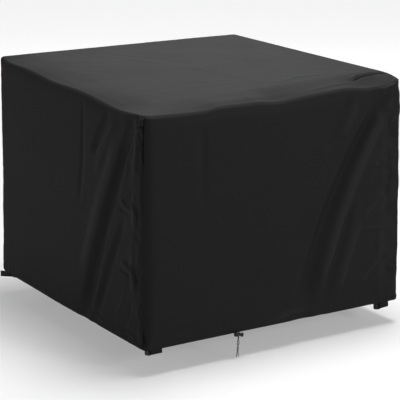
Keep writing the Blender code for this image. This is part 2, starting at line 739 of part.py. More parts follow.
def press_pocket(bm, way, width, thick, depth):
    """Sinks a pocket of the given size into one end of a block."""
    face = end_face(bm, way)
    made = bmesh.ops.inset_region(bm, faces=[face], thickness=0.0004, use_even_offset=True)
    rim_x = face.calc_center_median().x
    for corner in face.verts:
        corner.co.y = (1 if corner.co.y > 0 else -1) * thick / 2
        corner.co.z = (1 if corner.co.z > 0 else -1) * width / 2
    sunk = bmesh.ops.extrude_discrete_faces(bm, faces=[face])["faces"]
    for corner in sunk[0].verts:
        corner.co.x = rim_x - way * depth
    return made


def grow_tongue(bm, way, width, thick, length):
    """Draws a tongue of the given size out of one end of a block."""
    press_pocket(bm, way, width, thick, -length)


def round_long_edges(bm, radius):
    """Rounds the long outer edges of a block."""
    edges = [
        edge
        for edge in bm.edges
        if abs((edge.verts[0].co - edge.verts[1].co).normalized().x) > 0.99 and edge.calc_face_angle(0) > 1
    ]
    widest = max(abs(vert.co.z) for vert in bm.verts)
    edges = [edge for edge in edges if abs(abs(edge.verts[0].co.z) - widest) < radius / 10]
    bmesh.ops.bevel(bm, geom=edges, offset=radius, segments=2, affect="EDGES", profile=0.5)


def buckle(corner):
    """The two halves of one strap's buckle, closed."""
    strap = STRAPS[corner]
    place, along, face, width = strap_frame(strap, buckle_start(strap))
    pocket_thick = WEBBING_THICK + 2 * GAP
    pocket_width = WEBBING_WIDTH + 2 * GAP
    mouth_width = BUCKLE_WIDTH - 2 * POCKET_LIP
    mouth_thick = BUCKLE_THICK - 2 * POCKET_LIP

    socket = buckle_block(SOCKET_LENGTH, BUCKLE_WIDTH, BUCKLE_THICK)
    round_long_edges(socket, BUCKLE_EDGE)
    press_pocket(socket, -1, mouth_width, mouth_thick, TONGUE_LENGTH + GAP)
    press_pocket(socket, 1, pocket_width, pocket_thick, WEBBING_POCKET + GAP)

    plug = buckle_block(PLUG_LENGTH, BUCKLE_WIDTH, BUCKLE_THICK)
    round_long_edges(plug, BUCKLE_EDGE)
    press_pocket(plug, -1, pocket_width, pocket_thick, WEBBING_POCKET + GAP)
    grow_tongue(plug, 1, mouth_width - 2 * GAP, mouth_thick - 2 * GAP, TONGUE_LENGTH)

    joint = BUCKLE_SPAN / 2 - SOCKET_LENGTH
    turn = Matrix((along, face, width)).transposed().to_4x4()
    for half, name, shift in ((socket, "socket", joint), (plug, "plug", joint - GAP - PLUG_LENGTH)):
        title = f"buckle_{name}_{corner}"
        made = make_object(title, mesh_from(title, half), "buckle_plastic")
        made.matrix_world = Matrix.Translation(place + along * shift) @ turn


# ---------------------------------------------------------------- cord lock and cord ends
def lock_place():
    """The middle of the cord lock, just outside the hem."""
    outer, out = side_station("front", LOCK_ALONG, LOCK_DROP)
    return outer + out * (GAP + LOCK_RADIUS) - Vector((0, 0, LOCK_DROP))


def turned(name, rows, finish):
    """A solid turned about X from a table of radii."""
    bm = bmesh.new()
    profile = [(rows[0].x, 0.0)] + [(row.x, row.radius) for row in rows] + [(rows[-1].x, 0.0)]
    verts = [bm.verts.new((x, radius, 0)) for x, radius in profile]
    edges = [bm.edges.new(pair) for pair in zip(verts, verts[1:])]
    bmesh.ops.spin(
        bm, geom=verts + edges, cent=(0, 0, 0), axis=(1, 0, 0), dvec=(0, 0, 0), angle=2 * pi, steps=20
    )
    bmesh.ops.remove_doubles(bm, verts=bm.verts, dist=0.00001)
    return make_object(name, mesh_from(name, bm, smooth=35), finish)


def cord_slot():
    """The cutter of the hole that both cords run through."""
    bm = bmesh.new()
    half_width, half_length = CORD / 2 + GAP, CORD_SPACING / 2
    ring = []
    for middle, start in ((half_length, -90), (-half_length, 90)):
        for step in range(7):
            angle = radians(start + 30 * step)
            ring.append(bm.verts.new((middle + half_width * cos(angle), half_width * sin(angle), -2 * NECK_RADIUS)))
    base = bm.faces.new(ring)
    lifted = bmesh.ops.extrude_face_region(bm, geom=[base])["geom"]
    moved = [item for item in lifted if isinstance(item, bmesh.types.BMVert)]
    bmesh.ops.translate(bm, vec=(0, 0, 4 * NECK_RADIUS), verts=moved)
    cutter = make_object("cord_slot_cutter", mesh_from("cord_slot_cutter", bm), "lock_plastic")
    cutter.hide_render = True
    cutter.display_type = "WIRE"
    return cutter


def cord_lock():
    """The lock's body with the hole for the cords, and its button."""
    turn = Matrix.Translation(lock_place()) @ Matrix.Rotation(LOCK_TILT, 4, "Y")
    body = turned("cord_lock_body", LOCK_BODY_ROWS, "lock_plastic")
    button = turned("cord_lock_button", LOCK_BUTTON_ROWS, "lock_plastic")
    cutter = cord_slot()
    for made in (body, button, cutter):
        made.matrix_world = turn
    cut = body.modifiers.new("cord hole", "BOOLEAN")
    cut.operation = "DIFFERENCE"
    cut.object = cutter


def cord_route(sign):
    """The route of one cord end, as points chosen along it: out of the hem, through the lock and down."""
    middle = lock_place()
    hem_y = side_station("front", LOCK_ALONG, DROP)[0].y - GAP
    aside = Vector((sign * CORD_SPACING / 2, 0, 0))
    lean = Vector((sin(LOCK_TILT), 0, cos(LOCK_TILT)))
    points = []
    for row in LEAD_ROWS:
        points.append(Vector((middle.x + lean.x * row.up, hem_y - row.out, middle.z + row.up)) + aside)
    points += [middle + aside + lean * up for up in LOCK_UPS]
    for row in TAIL_ROWS:
        sideways = -sign * row.spread - TAIL_LEAN * row.below
        points.append(middle + Vector((sideways, sign * row.front, -row.below)))
    return points


def smooth_through(points, step):
    """Evenly spaced points on one smooth curve through the points given."""
    fine = []
    padded = [points[0] * 2 - points[1], *points, points[-1] * 2 - points[-2]]
    for before, start, end, after in zip(padded, padded[1:], padded[2:], padded[3:]):
        for index in range(12):
            t = index / 12
            fine.append(
                0.5
                * (
                    2 * start
                    + (end - before) * t
                    + (2 * before - 5 * start + 4 * end - after) * t**2
                    + (3 * start - before - 3 * end + after) * t**3
                )
            )
    fine.append(points[-1])
    lengths = [(end - start).length for start, end in zip(fine, fine[1:])]
    count = round(sum(lengths) / step)
    spacing = sum(lengths) / count
    placed, run = [fine[0]], 0.0
    for start, end, length in zip(fine, fine[1:], lengths):
        while len(placed) < count and run + length >= len(placed) * spacing:
            placed.append(start.lerp(end, (len(placed) * spacing - run) / length))
        run += length
    return placed + [fine[-1]]


def cord_end(name, sign):
    """One free end of the drawcord."""
    curve = bpy.data.curves.new(name, "CURVE")
    curve.dimensions = "3D"
    curve.bevel_depth = CORD / 2
    curve.bevel_resolution = CORD_SIDES
    curve.use_fill_caps = True
    points = smooth_through(cord_route(sign), TAIL_STEP)
    spline = curve.splines.new("POLY")
    spline.points.add(len(points) - 1)
    for knot, point in zip(spline.points, points):
        knot.co = (*point, 1)
    curve.materials.append(bpy.data.materials["drawcord"])
    made = bpy.data.objects.new(name, curve)
    bpy.context.collection.objects.link(made)


# ---------------------------------------------------------------- the whole cover
def clear_scene():
    """Removes every object, so that the file holds only the cover."""
    for old in list(bpy.data.objects):
        bpy.data.objects.remove(old)


def make_materials():
    """One Principled material for each finish."""
    for name, finish in FINISHES.items():
        material = bpy.data.materials.new(name)
        material.use_nodes = True
        shader = material.node_tree.nodes["Principled BSDF"]
        shader.inputs["Base Color"].default_value = (*finish.colour, 1)
        shader.inputs["Roughness"].default_value = finish.roughness
        shader.inputs["Metallic"].default_value = finish.metallic


def build():
    """Makes every piece of the cover."""
    clear_scene()
    make_materials()
    top_panel()
    for name in SIDES:
        side_panel(name)
    for corner in STRAPS:
        strap_band(corner)
        buckle(corner)
    cord_lock()
    cord_end("drawcord_tail_a", 1)
    cord_end("drawcord_tail_b", -1)


build()
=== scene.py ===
"""Looks of a fitted, box-shaped patio cover of black coated cloth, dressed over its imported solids.

Metres, +Z up, in the frame of the solids. Seen from outside, a place on a side panel is given by "along", from the
panel's left-hand corner, and "drop", down from the top. The cloth hangs much as it does in the solids. The front
side's long folds lie a little farther to its left here, the hollows above the hem are deeper, and the top edge of two
sides slumps. Finer creases, seams, hem, stitching, webbing, buckles, cord lock and braided cord are added.
"""

import logging
import math
from dataclasses import dataclass
from enum import Enum
from typing import Callable, NamedTuple, Sequence

import bmesh
import bpy
import numpy as np
from mathutils import Matrix, Vector, noise


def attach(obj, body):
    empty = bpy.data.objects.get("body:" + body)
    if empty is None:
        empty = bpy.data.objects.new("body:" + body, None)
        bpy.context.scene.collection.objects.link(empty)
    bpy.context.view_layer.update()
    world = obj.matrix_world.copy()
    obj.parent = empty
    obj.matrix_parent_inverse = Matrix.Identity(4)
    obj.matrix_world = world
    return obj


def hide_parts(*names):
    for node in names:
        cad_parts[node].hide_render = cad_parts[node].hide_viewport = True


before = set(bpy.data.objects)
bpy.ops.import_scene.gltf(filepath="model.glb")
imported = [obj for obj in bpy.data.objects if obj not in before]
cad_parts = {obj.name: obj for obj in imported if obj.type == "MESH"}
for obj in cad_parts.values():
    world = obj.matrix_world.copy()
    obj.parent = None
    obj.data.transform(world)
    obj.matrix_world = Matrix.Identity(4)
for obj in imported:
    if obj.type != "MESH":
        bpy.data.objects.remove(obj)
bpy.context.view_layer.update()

LOG = logging.getLogger("patio_cover")
Array = np.ndarray
Pair = tuple[float, float]

# ---------------------------------------------------------------- sizes shared with the solids
FACE = 1.200  # width of a side across the top
HALF = FACE / 2
DROP = 0.944  # from the top down to the hem
CLOTH = 0.0016  # thickness of the cloth
GAP = 0.0003  # between neighbouring solids
EDGE_ROLL = 0.016  # radius of the turn over the top edge
SEAM_TURN = math.radians(40)  # how far round that turn the top seam lies
SEAM_DROP = EDGE_ROLL * (1 - math.cos(SEAM_TURN))
SAG_REACH = 0.160  # how far in from an edge its sag is felt on the top
CASING = 0.034  # height of the hem with its cord casing
CASING_THICK = 0.0036
HEM_HOLD = 0.130  # height above the hem over which it flattens the folds
FOLD_LEFT_AT_HEM = 0.25  # share of a fold that is left there
HEM_LIFT = {"left": 0.020, "front": 0.0, "right": 0.0, "back": 0.0}  # how far the hem is drawn up at each corner
LIFT_REACH = 0.040
LIFT_HEIGHT = 0.150
WEBBING_WIDTH = 0.025
WEBBING_THICK = 0.0016
WEBBING_POCKET = 0.005  # how far the webbing runs into a buckle half
LOOP_CORNER = 0.008  # radius of a strap loop's corners
BUCKLE_WIDTH = 0.030
BUCKLE_THICK = 0.0090
SOCKET_LENGTH = 0.018
PLUG_LENGTH = 0.0105
LOCK_ALONG = 0.412
LOCK_DROP = 0.945
LOCK_TILT = math.radians(12)
LOCK_RADIUS = 0.0088
NECK_RADIUS = 0.0060
CORD = 0.0030  # diameter of the drawcord
CORD_SPACING = 0.0035
FLOOR_Z = -1.0450

# ---------------------------------------------------------------- how folds and creases begin and end
FOLD_LEAD = 0.06  # share of its length by which a fold starts early
FOLD_RISE = 0.22  # share over which it grows
FOLD_END = 1.08  # share at which one that stops above the hem is gone
FOLD_FADE = 0.30  # share over which it goes
CREASE_TAPER = 0.22  # share over which a crease grows and goes
FAR = 9.0  # a distance beyond any on the cover
TINY = 1e-5  # a distance below which two points are one


class SideRow(NamedTuple):
    """One side of the cover: its left-hand corner, the way along it and out of it, and the corners at its ends."""

    start: Pair
    along: Pair
    out: Pair
    begins: str
    ends: str


class CornerRow(NamedTuple):
    """An upright corner at a drop: radius of its turn, the seam's place in it, how far it stands out."""

    drop: float
    radius: float
    seam: float
    out: float


class Fold(NamedTuple):
    """A long fold: its middle line at top, half way and foot, its half widths and how far it stands out."""

    top_along: float
    top_drop: float
    mid_along: float
    mid_drop: float
    foot_along: float
    foot_drop: float
    top_half: float
    foot_half: float
    depth: float


class Pucker(NamedTuple):
    """A short hollow just above the hem."""

    along: float
    drop: float
    half_along: float
    half_drop: float
    depth: float


class Crease(NamedTuple):
    """A finer crease: the points of its line, its half width, how far it stands out, and how pinched it is."""

    path: tuple[Pair, ...]
    half: float
    height: float
    pinch: float = 1.0


SIDES = {
    "left": SideRow((-1, 1), (0, -1), (-1, 0), "left", "front"),
    "front": SideRow((-1, -1), (1, 0), (0, -1), "front", "right"),
    "right": SideRow((1, -1), (0, 1), (1, 0), "right", "back"),
    "back": SideRow((1, 1), (-1, 0), (0, 1), "back", "left"),
}
CORNER_SEAM, CORNER_OUT = 2, 3  # columns of a corner's rows
SIDE_BEFORE = {"left": "back", "front": "left", "right": "front", "back": "right"}
CORNER_HEIGHT = {"left": 0.018, "front": -0.019, "right": 0.009, "back": -0.002}
CORNERS = {
    "left": (
        CornerRow(0.000, 0.024, 0.50, 0.003),
        CornerRow(0.250, 0.022, 0.50, 0.004),
        CornerRow(0.480, 0.022, 0.50, 0.005),
        CornerRow(0.700, 0.022, 0.50, 0.009),
        CornerRow(DROP, 0.026, 0.50, 0.014),
    ),
    "front": (
        CornerRow(0.000, 0.034, 0.42, 0.000),
        CornerRow(0.065, 0.042, 0.25, 0.001),
        CornerRow(0.175, 0.046, 0.20, 0.002),
        CornerRow(0.275, 0.050, 0.07, 0.003),
        CornerRow(0.370, 0.047, 0.08, 0.004),
        CornerRow(0.520, 0.052, 0.06, 0.006),
        CornerRow(0.620, 0.059, 0.06, 0.007),
        CornerRow(0.770, 0.052, 0.06, 0.008),
        CornerRow(0.870, 0.045, 0.08, 0.009),
        CornerRow(DROP, 0.024, 0.50, 0.010),
    ),
    "right": (
        CornerRow(0.000, 0.036, 0.60, 0.011),
        CornerRow(0.100, 0.032, 0.60, 0.014),
        CornerRow(0.480, 0.030, 0.60, 0.019),
        CornerRow(0.750, 0.030, 0.60, 0.021),
        CornerRow(DROP, 0.028, 0.60, 0.0205),
    ),
    "back": (
        CornerRow(0.000, 0.026, 0.50, 0.000),
        CornerRow(0.750, 0.028, 0.50, 0.007),
        CornerRow(DROP, 0.028, 0.50, 0.009),
    ),
}
# How far the top edge sags below the line between its corners: along, sag.
SAGS = {
    "left": ((0, 0), (0.060, 0.011), (0.240, 0.006), (0.460, 0.012), (0.700, 0.005), (0.980, 0.013), (FACE, 0)),
    "front": (
        (0, 0),
        (0.260, 0.011),
        (0.350, 0.003),
        (0.490, 0.007),
        (0.620, 0.021),
        (0.740, 0.016),
        (0.920, 0.013),
        (1.055, 0.028),
        (1.120, 0.024),
        (FACE, 0.006),
    ),
    "right": ((0, 0.006), (0.070, -0.002), (0.180, 0), (0.420, 0), (0.800, 0), (FACE, 0)),
    "back": ((0, 0), (0.550, -0.001), (0.900, 0), (FACE, 0)),
}
# How far the cloth slumps at the top edge, down and inwards: along, slump.
SHOULDERS = {
    "left": ((0, 0), (0.150, 0.003), (0.900, 0.004), (1.120, 0.002), (FACE, 0)),
    "front": ((0, 0), (0.120, 0.003), (0.500, 0.006), (0.900, 0.003), (1.130, 0.001), (FACE, 0)),
}
SHOULDER_REACH = 0.060
# Depth and reach of the valley along a corner seam, on the panel before it and the one after it.
SEAM_VALLEYS = {
    "left": ((0.0020, 0.012), (0.0020, 0.012)),
    "front": ((0.0075, 0.017), (0.0060, 0.020)),
    "right": ((0.0045, 0.014), (0.0045, 0.014)),
    "back": ((0.0020, 0.012), (0.0020, 0.012)),
}
# How strongly each side is crumpled beside its right-hand seam.
CRUMPLES = {"left": 1.0, "front": 2.4, "right": 1.0, "back": 1.0}
# How much higher than DROP the hem ends: along, rise.
HEMS = {
    "left": ((0, 0.0110), (0.250, 0.0080), (0.500, 0.0045), (FACE, 0.0050)),
    "front": ((0, 0.0050), (0.450, 0.0050), (0.800, 0.0030), (FACE, 0.0010)),
    "right": ((0, 0.0010), (FACE, 0)),
    "back": ((0, 0), (0.900, 0.0060), (FACE, 0.0110)),
}
FOLDS = {
    "left": (
        Fold(1.118, 0.030, 0.908, 0.460, 0.735, 0.930, 0.042, 0.062, -0.018),
        Fold(1.050, 0.430, 0.905, 0.725, 0.815, 0.930, 0.035, 0.045, -0.010),
        Fold(0.935, 0.030, 0.868, 0.125, 0.810, 0.225, 0.034, 0.034, -0.008),
        Fold(0.995, 0.050, 0.905, 0.180, 0.835, 0.300, 0.036, 0.040, 0.004),
        Fold(0.731, 0.030, 0.722, 0.250, 0.690, 0.470, 0.020, 0.030, -0.003),
    ),
    "front": (
        Fold(1.105, 0.040, 0.846, 0.500, 0.717, 0.930, 0.046, 0.070, -0.024),
        Fold(0.963, 0.470, 0.880, 0.720, 0.806, 0.935, 0.028, 0.036, -0.010),
        Fold(0.943, 0.040, 0.894, 0.130, 0.834, 0.240, 0.034, 0.034, -0.008),
        Fold(1.130, 0.080, 1.110, 0.480, 1.060, 0.930, 0.060, 0.110, -0.006),
        Fold(0.254, 0.060, 0.256, 0.210, 0.252, 0.400, 0.026, 0.034, -0.005),
    ),
    "right": (
        Fold(0.080, 0.060, 0.240, 0.500, 0.380, 0.930, 0.045, 0.070, -0.014),
        Fold(0.200, 0.520, 0.290, 0.730, 0.340, 0.930, 0.040, 0.050, 0.004),
    ),
    "back": (
        Fold(0.090, 0.060, 0.230, 0.500, 0.400, 0.930, 0.045, 0.070, -0.012),
        Fold(0.330, 0.040, 0.370, 0.200, 0.400, 0.400, 0.040, 0.050, -0.005),
    ),
}
PUCKERS = {
    "left": (Pucker(0.825, 0.900, 0.080, 0.034, -0.008), Pucker(1.065, 0.900, 0.080, 0.032, -0.008)),
    "front": (Pucker(0.660, 0.890, 0.105, 0.036, -0.010), Pucker(0.165, 0.896, 0.060, 0.028, -0.006)),
    "right": (Pucker(0.420, 0.895, 0.090, 0.034, -0.004),),
    "back": (Pucker(0.300, 0.895, 0.090, 0.034, -0.004),),
}
# The finer creases of each side, on top of its long folds: along and drop of their points.
CREASES = {
    "left": (
        Crease(
            ((1.118, 0.026), (1.048, 0.135), (1.003, 0.258), (0.940, 0.378), (0.838, 0.650), (0.756, 0.830)),
            0.030,
            -0.0050,
        ),
        Crease(
            ((1.056, 0.040), (0.986, 0.130), (0.936, 0.250), (0.870, 0.375), (0.760, 0.640), (0.690, 0.800)),
            0.048,
            0.0050,
        ),
        Crease(((1.150, 0.060), (1.138, 0.150), (1.124, 0.260)), 0.024, 0.0045),
        Crease(((1.215, -0.010), (1.190, 0.014), (1.168, 0.036), (1.140, 0.066)), 0.012, 0.0100),
        Crease(((1.128, -0.004), (1.150, 0.018), (1.168, 0.056), (1.176, 0.110)), 0.012, -0.0090),
        Crease(((1.122, 0.310), (1.116, 0.390), (1.124, 0.480)), 0.022, 0.0050),
        Crease(((1.112, 0.550), (1.106, 0.635), (1.118, 0.740)), 0.022, 0.0050),
        Crease(((0.731, 0.035), (0.721, 0.296), (0.691, 0.456)), 0.022, -0.0014),
        Crease(((0.740, 0.925), (0.825, 0.905), (0.910, 0.920)), 0.012, 0.0040, 1.3),
        Crease(((0.985, 0.925), (1.065, 0.905), (1.140, 0.918)), 0.012, 0.0040, 1.3),
        Crease(((0.982, 0.051), (0.910, 0.140), (0.829, 0.233)), 0.018, 0.0030),
        Crease(((0.960, 0.430), (0.899, 0.529), (0.840, 0.655), (0.778, 0.798)), 0.020, 0.0045),
        Crease(((1.012, 0.381), (1.040, 0.366), (1.060, 0.384), (1.096, 0.385)), 0.013, 0.0060, 1.5),
        Crease(((1.010, 0.400), (1.050, 0.402), (1.090, 0.405)), 0.012, -0.0050, 1.5),
        Crease(((1.100, 0.350), (1.125, 0.385), (1.135, 0.430)), 0.011, 0.0046, 1.4),
        Crease(((1.014, 0.630), (1.045, 0.618), (1.083, 0.636)), 0.013, 0.0060, 1.5),
        Crease(((1.012, 0.652), (1.055, 0.655), (1.095, 0.660)), 0.012, -0.0050, 1.5),
        Crease(((1.080, 0.590), (1.112, 0.640), (1.122, 0.690)), 0.011, 0.0046, 1.4),
        Crease(((1.090, 0.140), (1.060, 0.260), (1.010, 0.360)), 0.016, 0.0022),
        Crease(((1.060, 0.700), (1.020, 0.800), (0.960, 0.880)), 0.016, 0.0022),
        Crease(((1.120, 0.760), (1.100, 0.840), (1.060, 0.900)), 0.014, 0.0020),
    ),
    "front": (
        Crease(
            (
                (1.160, 0.055),
                (1.100, 0.147),
                (1.026, 0.258),
                (0.966, 0.370),
                (0.898, 0.540),
                (0.830, 0.731),
                (0.800, 0.870),
            ),
            0.034,
            0.0070,
        ),
        Crease(((1.128, 0.100), (1.134, 0.330), (1.128, 0.560), (1.124, 0.900)), 0.042, -0.0110),
        Crease(((1.006, 0.540), (0.960, 0.640), (0.922, 0.749), (0.888, 0.860)), 0.024, 0.0050),
        Crease(((0.980, 0.060), (0.948, 0.125), (0.905, 0.200)), 0.024, 0.0040),
        Crease(((1.088, 0.480), (1.052, 0.508), (1.009, 0.545)), 0.012, 0.0062, 1.4),
        Crease(((1.092, 0.480), (1.132, 0.510), (1.172, 0.545)), 0.012, 0.0062, 1.4),
        Crease(((1.090, 0.745), (1.040, 0.790), (0.992, 0.850)), 0.013, 0.0066, 1.4),
        Crease(((1.100, 0.750), (1.135, 0.785), (1.172, 0.818)), 0.012, 0.0056, 1.4),
        Crease(((0.957, 0.872), (0.970, 0.888), (0.984, 0.902)), 0.009, 0.0030, 1.4),
        Crease(((1.034, 0.340), (1.085, 0.341), (1.132, 0.350)), 0.009, -0.0050, 1.5),
        Crease(((1.030, 0.326), (1.090, 0.326), (1.140, 0.335)), 0.011, 0.0032, 1.4),
        Crease(((1.001, 0.604), (1.075, 0.612), (1.146, 0.625)), 0.009, -0.0050, 1.5),
        Crease(((1.000, 0.589), (1.075, 0.596), (1.150, 0.608)), 0.011, 0.0034, 1.4),
        Crease(((1.146, 0.420), (1.156, 0.398), (1.166, 0.372)), 0.011, 0.0052, 1.3),
        Crease(((1.150, 0.690), (1.163, 0.669), (1.172, 0.640)), 0.011, 0.0052, 1.3),
        Crease(((1.176, 0.024), (1.179, 0.090), (1.182, 0.170)), 0.012, 0.0055, 1.2),
        Crease(((1.160, 0.130), (1.146, 0.170), (1.130, 0.212)), 0.012, 0.0048, 1.2),
        Crease(((1.150, 0.030), (1.130, 0.120), (1.080, 0.250)), 0.014, 0.0020),
        Crease(((1.110, 0.240), (1.075, 0.320), (1.020, 0.420)), 0.014, 0.0020),
        Crease(((0.560, 0.930), (0.676, 0.902), (0.755, 0.918)), 0.015, 0.0060, 1.3),
        Crease(((0.130, 0.908), (0.160, 0.904), (0.195, 0.920)), 0.012, 0.0026, 1.4),
        Crease(((0.400, 0.905), (0.440, 0.912), (0.500, 0.905)), 0.011, 0.0012, 1.4),
    ),
    "right": (
        Crease(((0.210, 0.180), (0.300, 0.420), (0.420, 0.760)), 0.022, 0.0035),
        Crease(((0.062, 0.340), (0.110, 0.352), (0.150, 0.340)), 0.010, -0.0022, 1.6),
        Crease(((0.060, 0.600), (0.120, 0.612), (0.170, 0.604)), 0.010, -0.0022, 1.6),
        Crease(((0.130, 0.480), (0.100, 0.520), (0.060, 0.560)), 0.011, 0.0026, 1.5),
        Crease(((0.870, 0.060), (0.880, 0.300), (0.872, 0.620)), 0.016, -0.0018),
        Crease(((0.640, 0.340), (0.800, 0.344), (0.980, 0.338)), 0.008, -0.0008, 1.6),
        Crease(((1.130, 0.060), (1.060, 0.300), (0.990, 0.560)), 0.030, -0.0050),
        Crease(((1.150, 0.300), (1.100, 0.420), (1.040, 0.600)), 0.018, 0.0028),
    ),
    "back": (
        Crease(((0.180, 0.120), (0.290, 0.400), (0.430, 0.760)), 0.022, 0.0035),
        Crease(((0.066, 0.360), (0.110, 0.352), (0.160, 0.362)), 0.010, -0.0022, 1.6),
        Crease(((0.600, 0.060), (0.604, 0.330), (0.598, 0.700)), 0.010, -0.0010, 1.6),
        Crease(((0.300, 0.610), (0.500, 0.604), (0.760, 0.612)), 0.009, -0.0009, 1.6),
        Crease(((1.110, 0.060), (1.020, 0.330), (0.960, 0.620)), 0.032, -0.0060),
        Crease(((1.130, 0.330), (1.070, 0.480), (1.000, 0.700)), 0.018, 0.0028),
    ),
}
# The finer creases of the top: x and y of their points.
TOP_CREASES = (
    Crease(((0.410, -0.516), (0.475, -0.506), (0.535, -0.506), (0.620, -0.548)), 0.010, -0.0210),
    Crease(((0.430, -0.494), (0.485, -0.486), (0.540, -0.486), (0.605, -0.520)), 0.015, 0.0090),
    Crease(((0.430, -0.532), (0.475, -0.523), (0.535, -0.522), (0.600, -0.560)), 0.013, 0.0075),
    Crease(((-0.231, 0.500), (-0.025, 0.209), (0.317, 0.260)), 0.024, -0.0012),
    Crease(((-0.231, 0.480), (0.000, 0.060), (0.103, -0.437)), 0.026, 0.0009),
    Crease(((0.100, -0.420), (0.260, -0.370), (0.430, -0.400)), 0.022, 0.0014),
    Crease(((-0.420, -0.300), (-0.200, -0.240), (0.060, -0.300)), 0.026, -0.0010),
    Crease(((0.150, 0.420), (0.300, 0.200), (0.500, 0.120)), 0.026, 0.0010),
    Crease(((0.015, -0.584), (0.230, -0.556), (0.439, -0.534)), 0.016, 0.0016, 1.4),
    Crease(((-0.590, 0.002), (-0.200, 0.004), (0.590, -0.002)), 0.008, -0.0007, 1.6),
    Crease(((0.004, -0.590), (-0.003, 0.100), (0.002, 0.590)), 0.008, -0.0007, 1.6),
    Crease(((-0.560, -0.560), (-0.500, -0.480), (-0.420, -0.400)), 0.020, 0.0020),
    Crease(((0.560, 0.540), (0.480, 0.470), (0.380, 0.400)), 0.020, 0.0020),
)


# ---------------------------------------------------------------- numbers over a whole surface
def ease(share: Array) -> Array:
    """A smooth step from 0 to 1."""
    share = np.clip(share, 0.0, 1.0)
    return share * share * (3 - 2 * share)


def swell(distance: Array, reach: float | Array) -> Array:
    """1 at no distance, falling softly to 0 at the reach."""
    return np.where(np.abs(distance) < reach, np.cos(np.pi / 2 * distance / reach) ** 2, 0.0)


def read(rows: Sequence[Sequence[float]], value: Array, column: int = 1, soft: bool = False) -> Array:
    """Reads a table between its rows.

    Args:
        rows: the table, with its first column rising.
        value: where to read it.
        column: which column is read.
        soft: whether it eases from row to row.

    Returns:
        The numbers of that column at each value.
    """
    keys, values = np.array([row[0] for row in rows]), np.array([row[column] for row in rows])
    value = np.clip(value, keys[0], keys[-1])
    index = np.clip(np.searchsorted(keys, value) - 1, 0, len(keys) - 2)
    share = (value - keys[index]) / (keys[index + 1] - keys[index])
    share = ease(share) if soft else share
    return values[index] * (1 - share) + values[index + 1] * share


def crease_relief(creases: Sequence[Crease], first: Array, second: Array) -> Array:
    """How far a set of creases stands out over a surface.

    Args:
        creases: the creases.
        first: the first coordinate of each place, such as its along.
        second: the second coordinate, such as its drop.

    Returns:
        The height over the cloth at each place.
    """
    relief = np.zeros(np.shape(first))
    for crease in creases:
        nearest, run, share_there = np.full(np.shape(first), FAR), 0.0, np.zeros(np.shape(first))
        steps = [math.dist(a, b) for a, b in zip(crease.path, crease.path[1:])]
        for (a, b), step in zip(zip(crease.path, crease.path[1:]), steps):
            way = ((b[0] - a[0]) / step, (b[1] - a[1]) / step)
            reach = np.clip((first - a[0]) * way[0] + (second - a[1]) * way[1], 0.0, step)
            away = np.hypot(first - a[0] - reach * way[0], second - a[1] - reach * way[1])
            closer = away < nearest
            nearest = np.where(closer, away, nearest)
            share_there = np.where(closer, (run + reach) / sum(steps), share_there)
            run += step
        taper = ease(share_there / CREASE_TAPER) * ease((1 - share_there) / CREASE_TAPER)
        core = np.clip(1 - nearest / crease.half, 0, 1)
        profile = ease(core) if crease.pinch == 1.0 else core**crease.pinch
        relief += crease.height * taper * profile
    return relief


def soft_noise(points: Array, pitch: float, seed: float) -> Array:
    """Smooth noise between -1 and 1 over a grid of points, with bumps about a pitch across."""
    flat = points.reshape(-1, 3) / pitch + seed
    return np.array([noise.noise(Vector(point)) for point in flat]).reshape(points.shape[:-1])


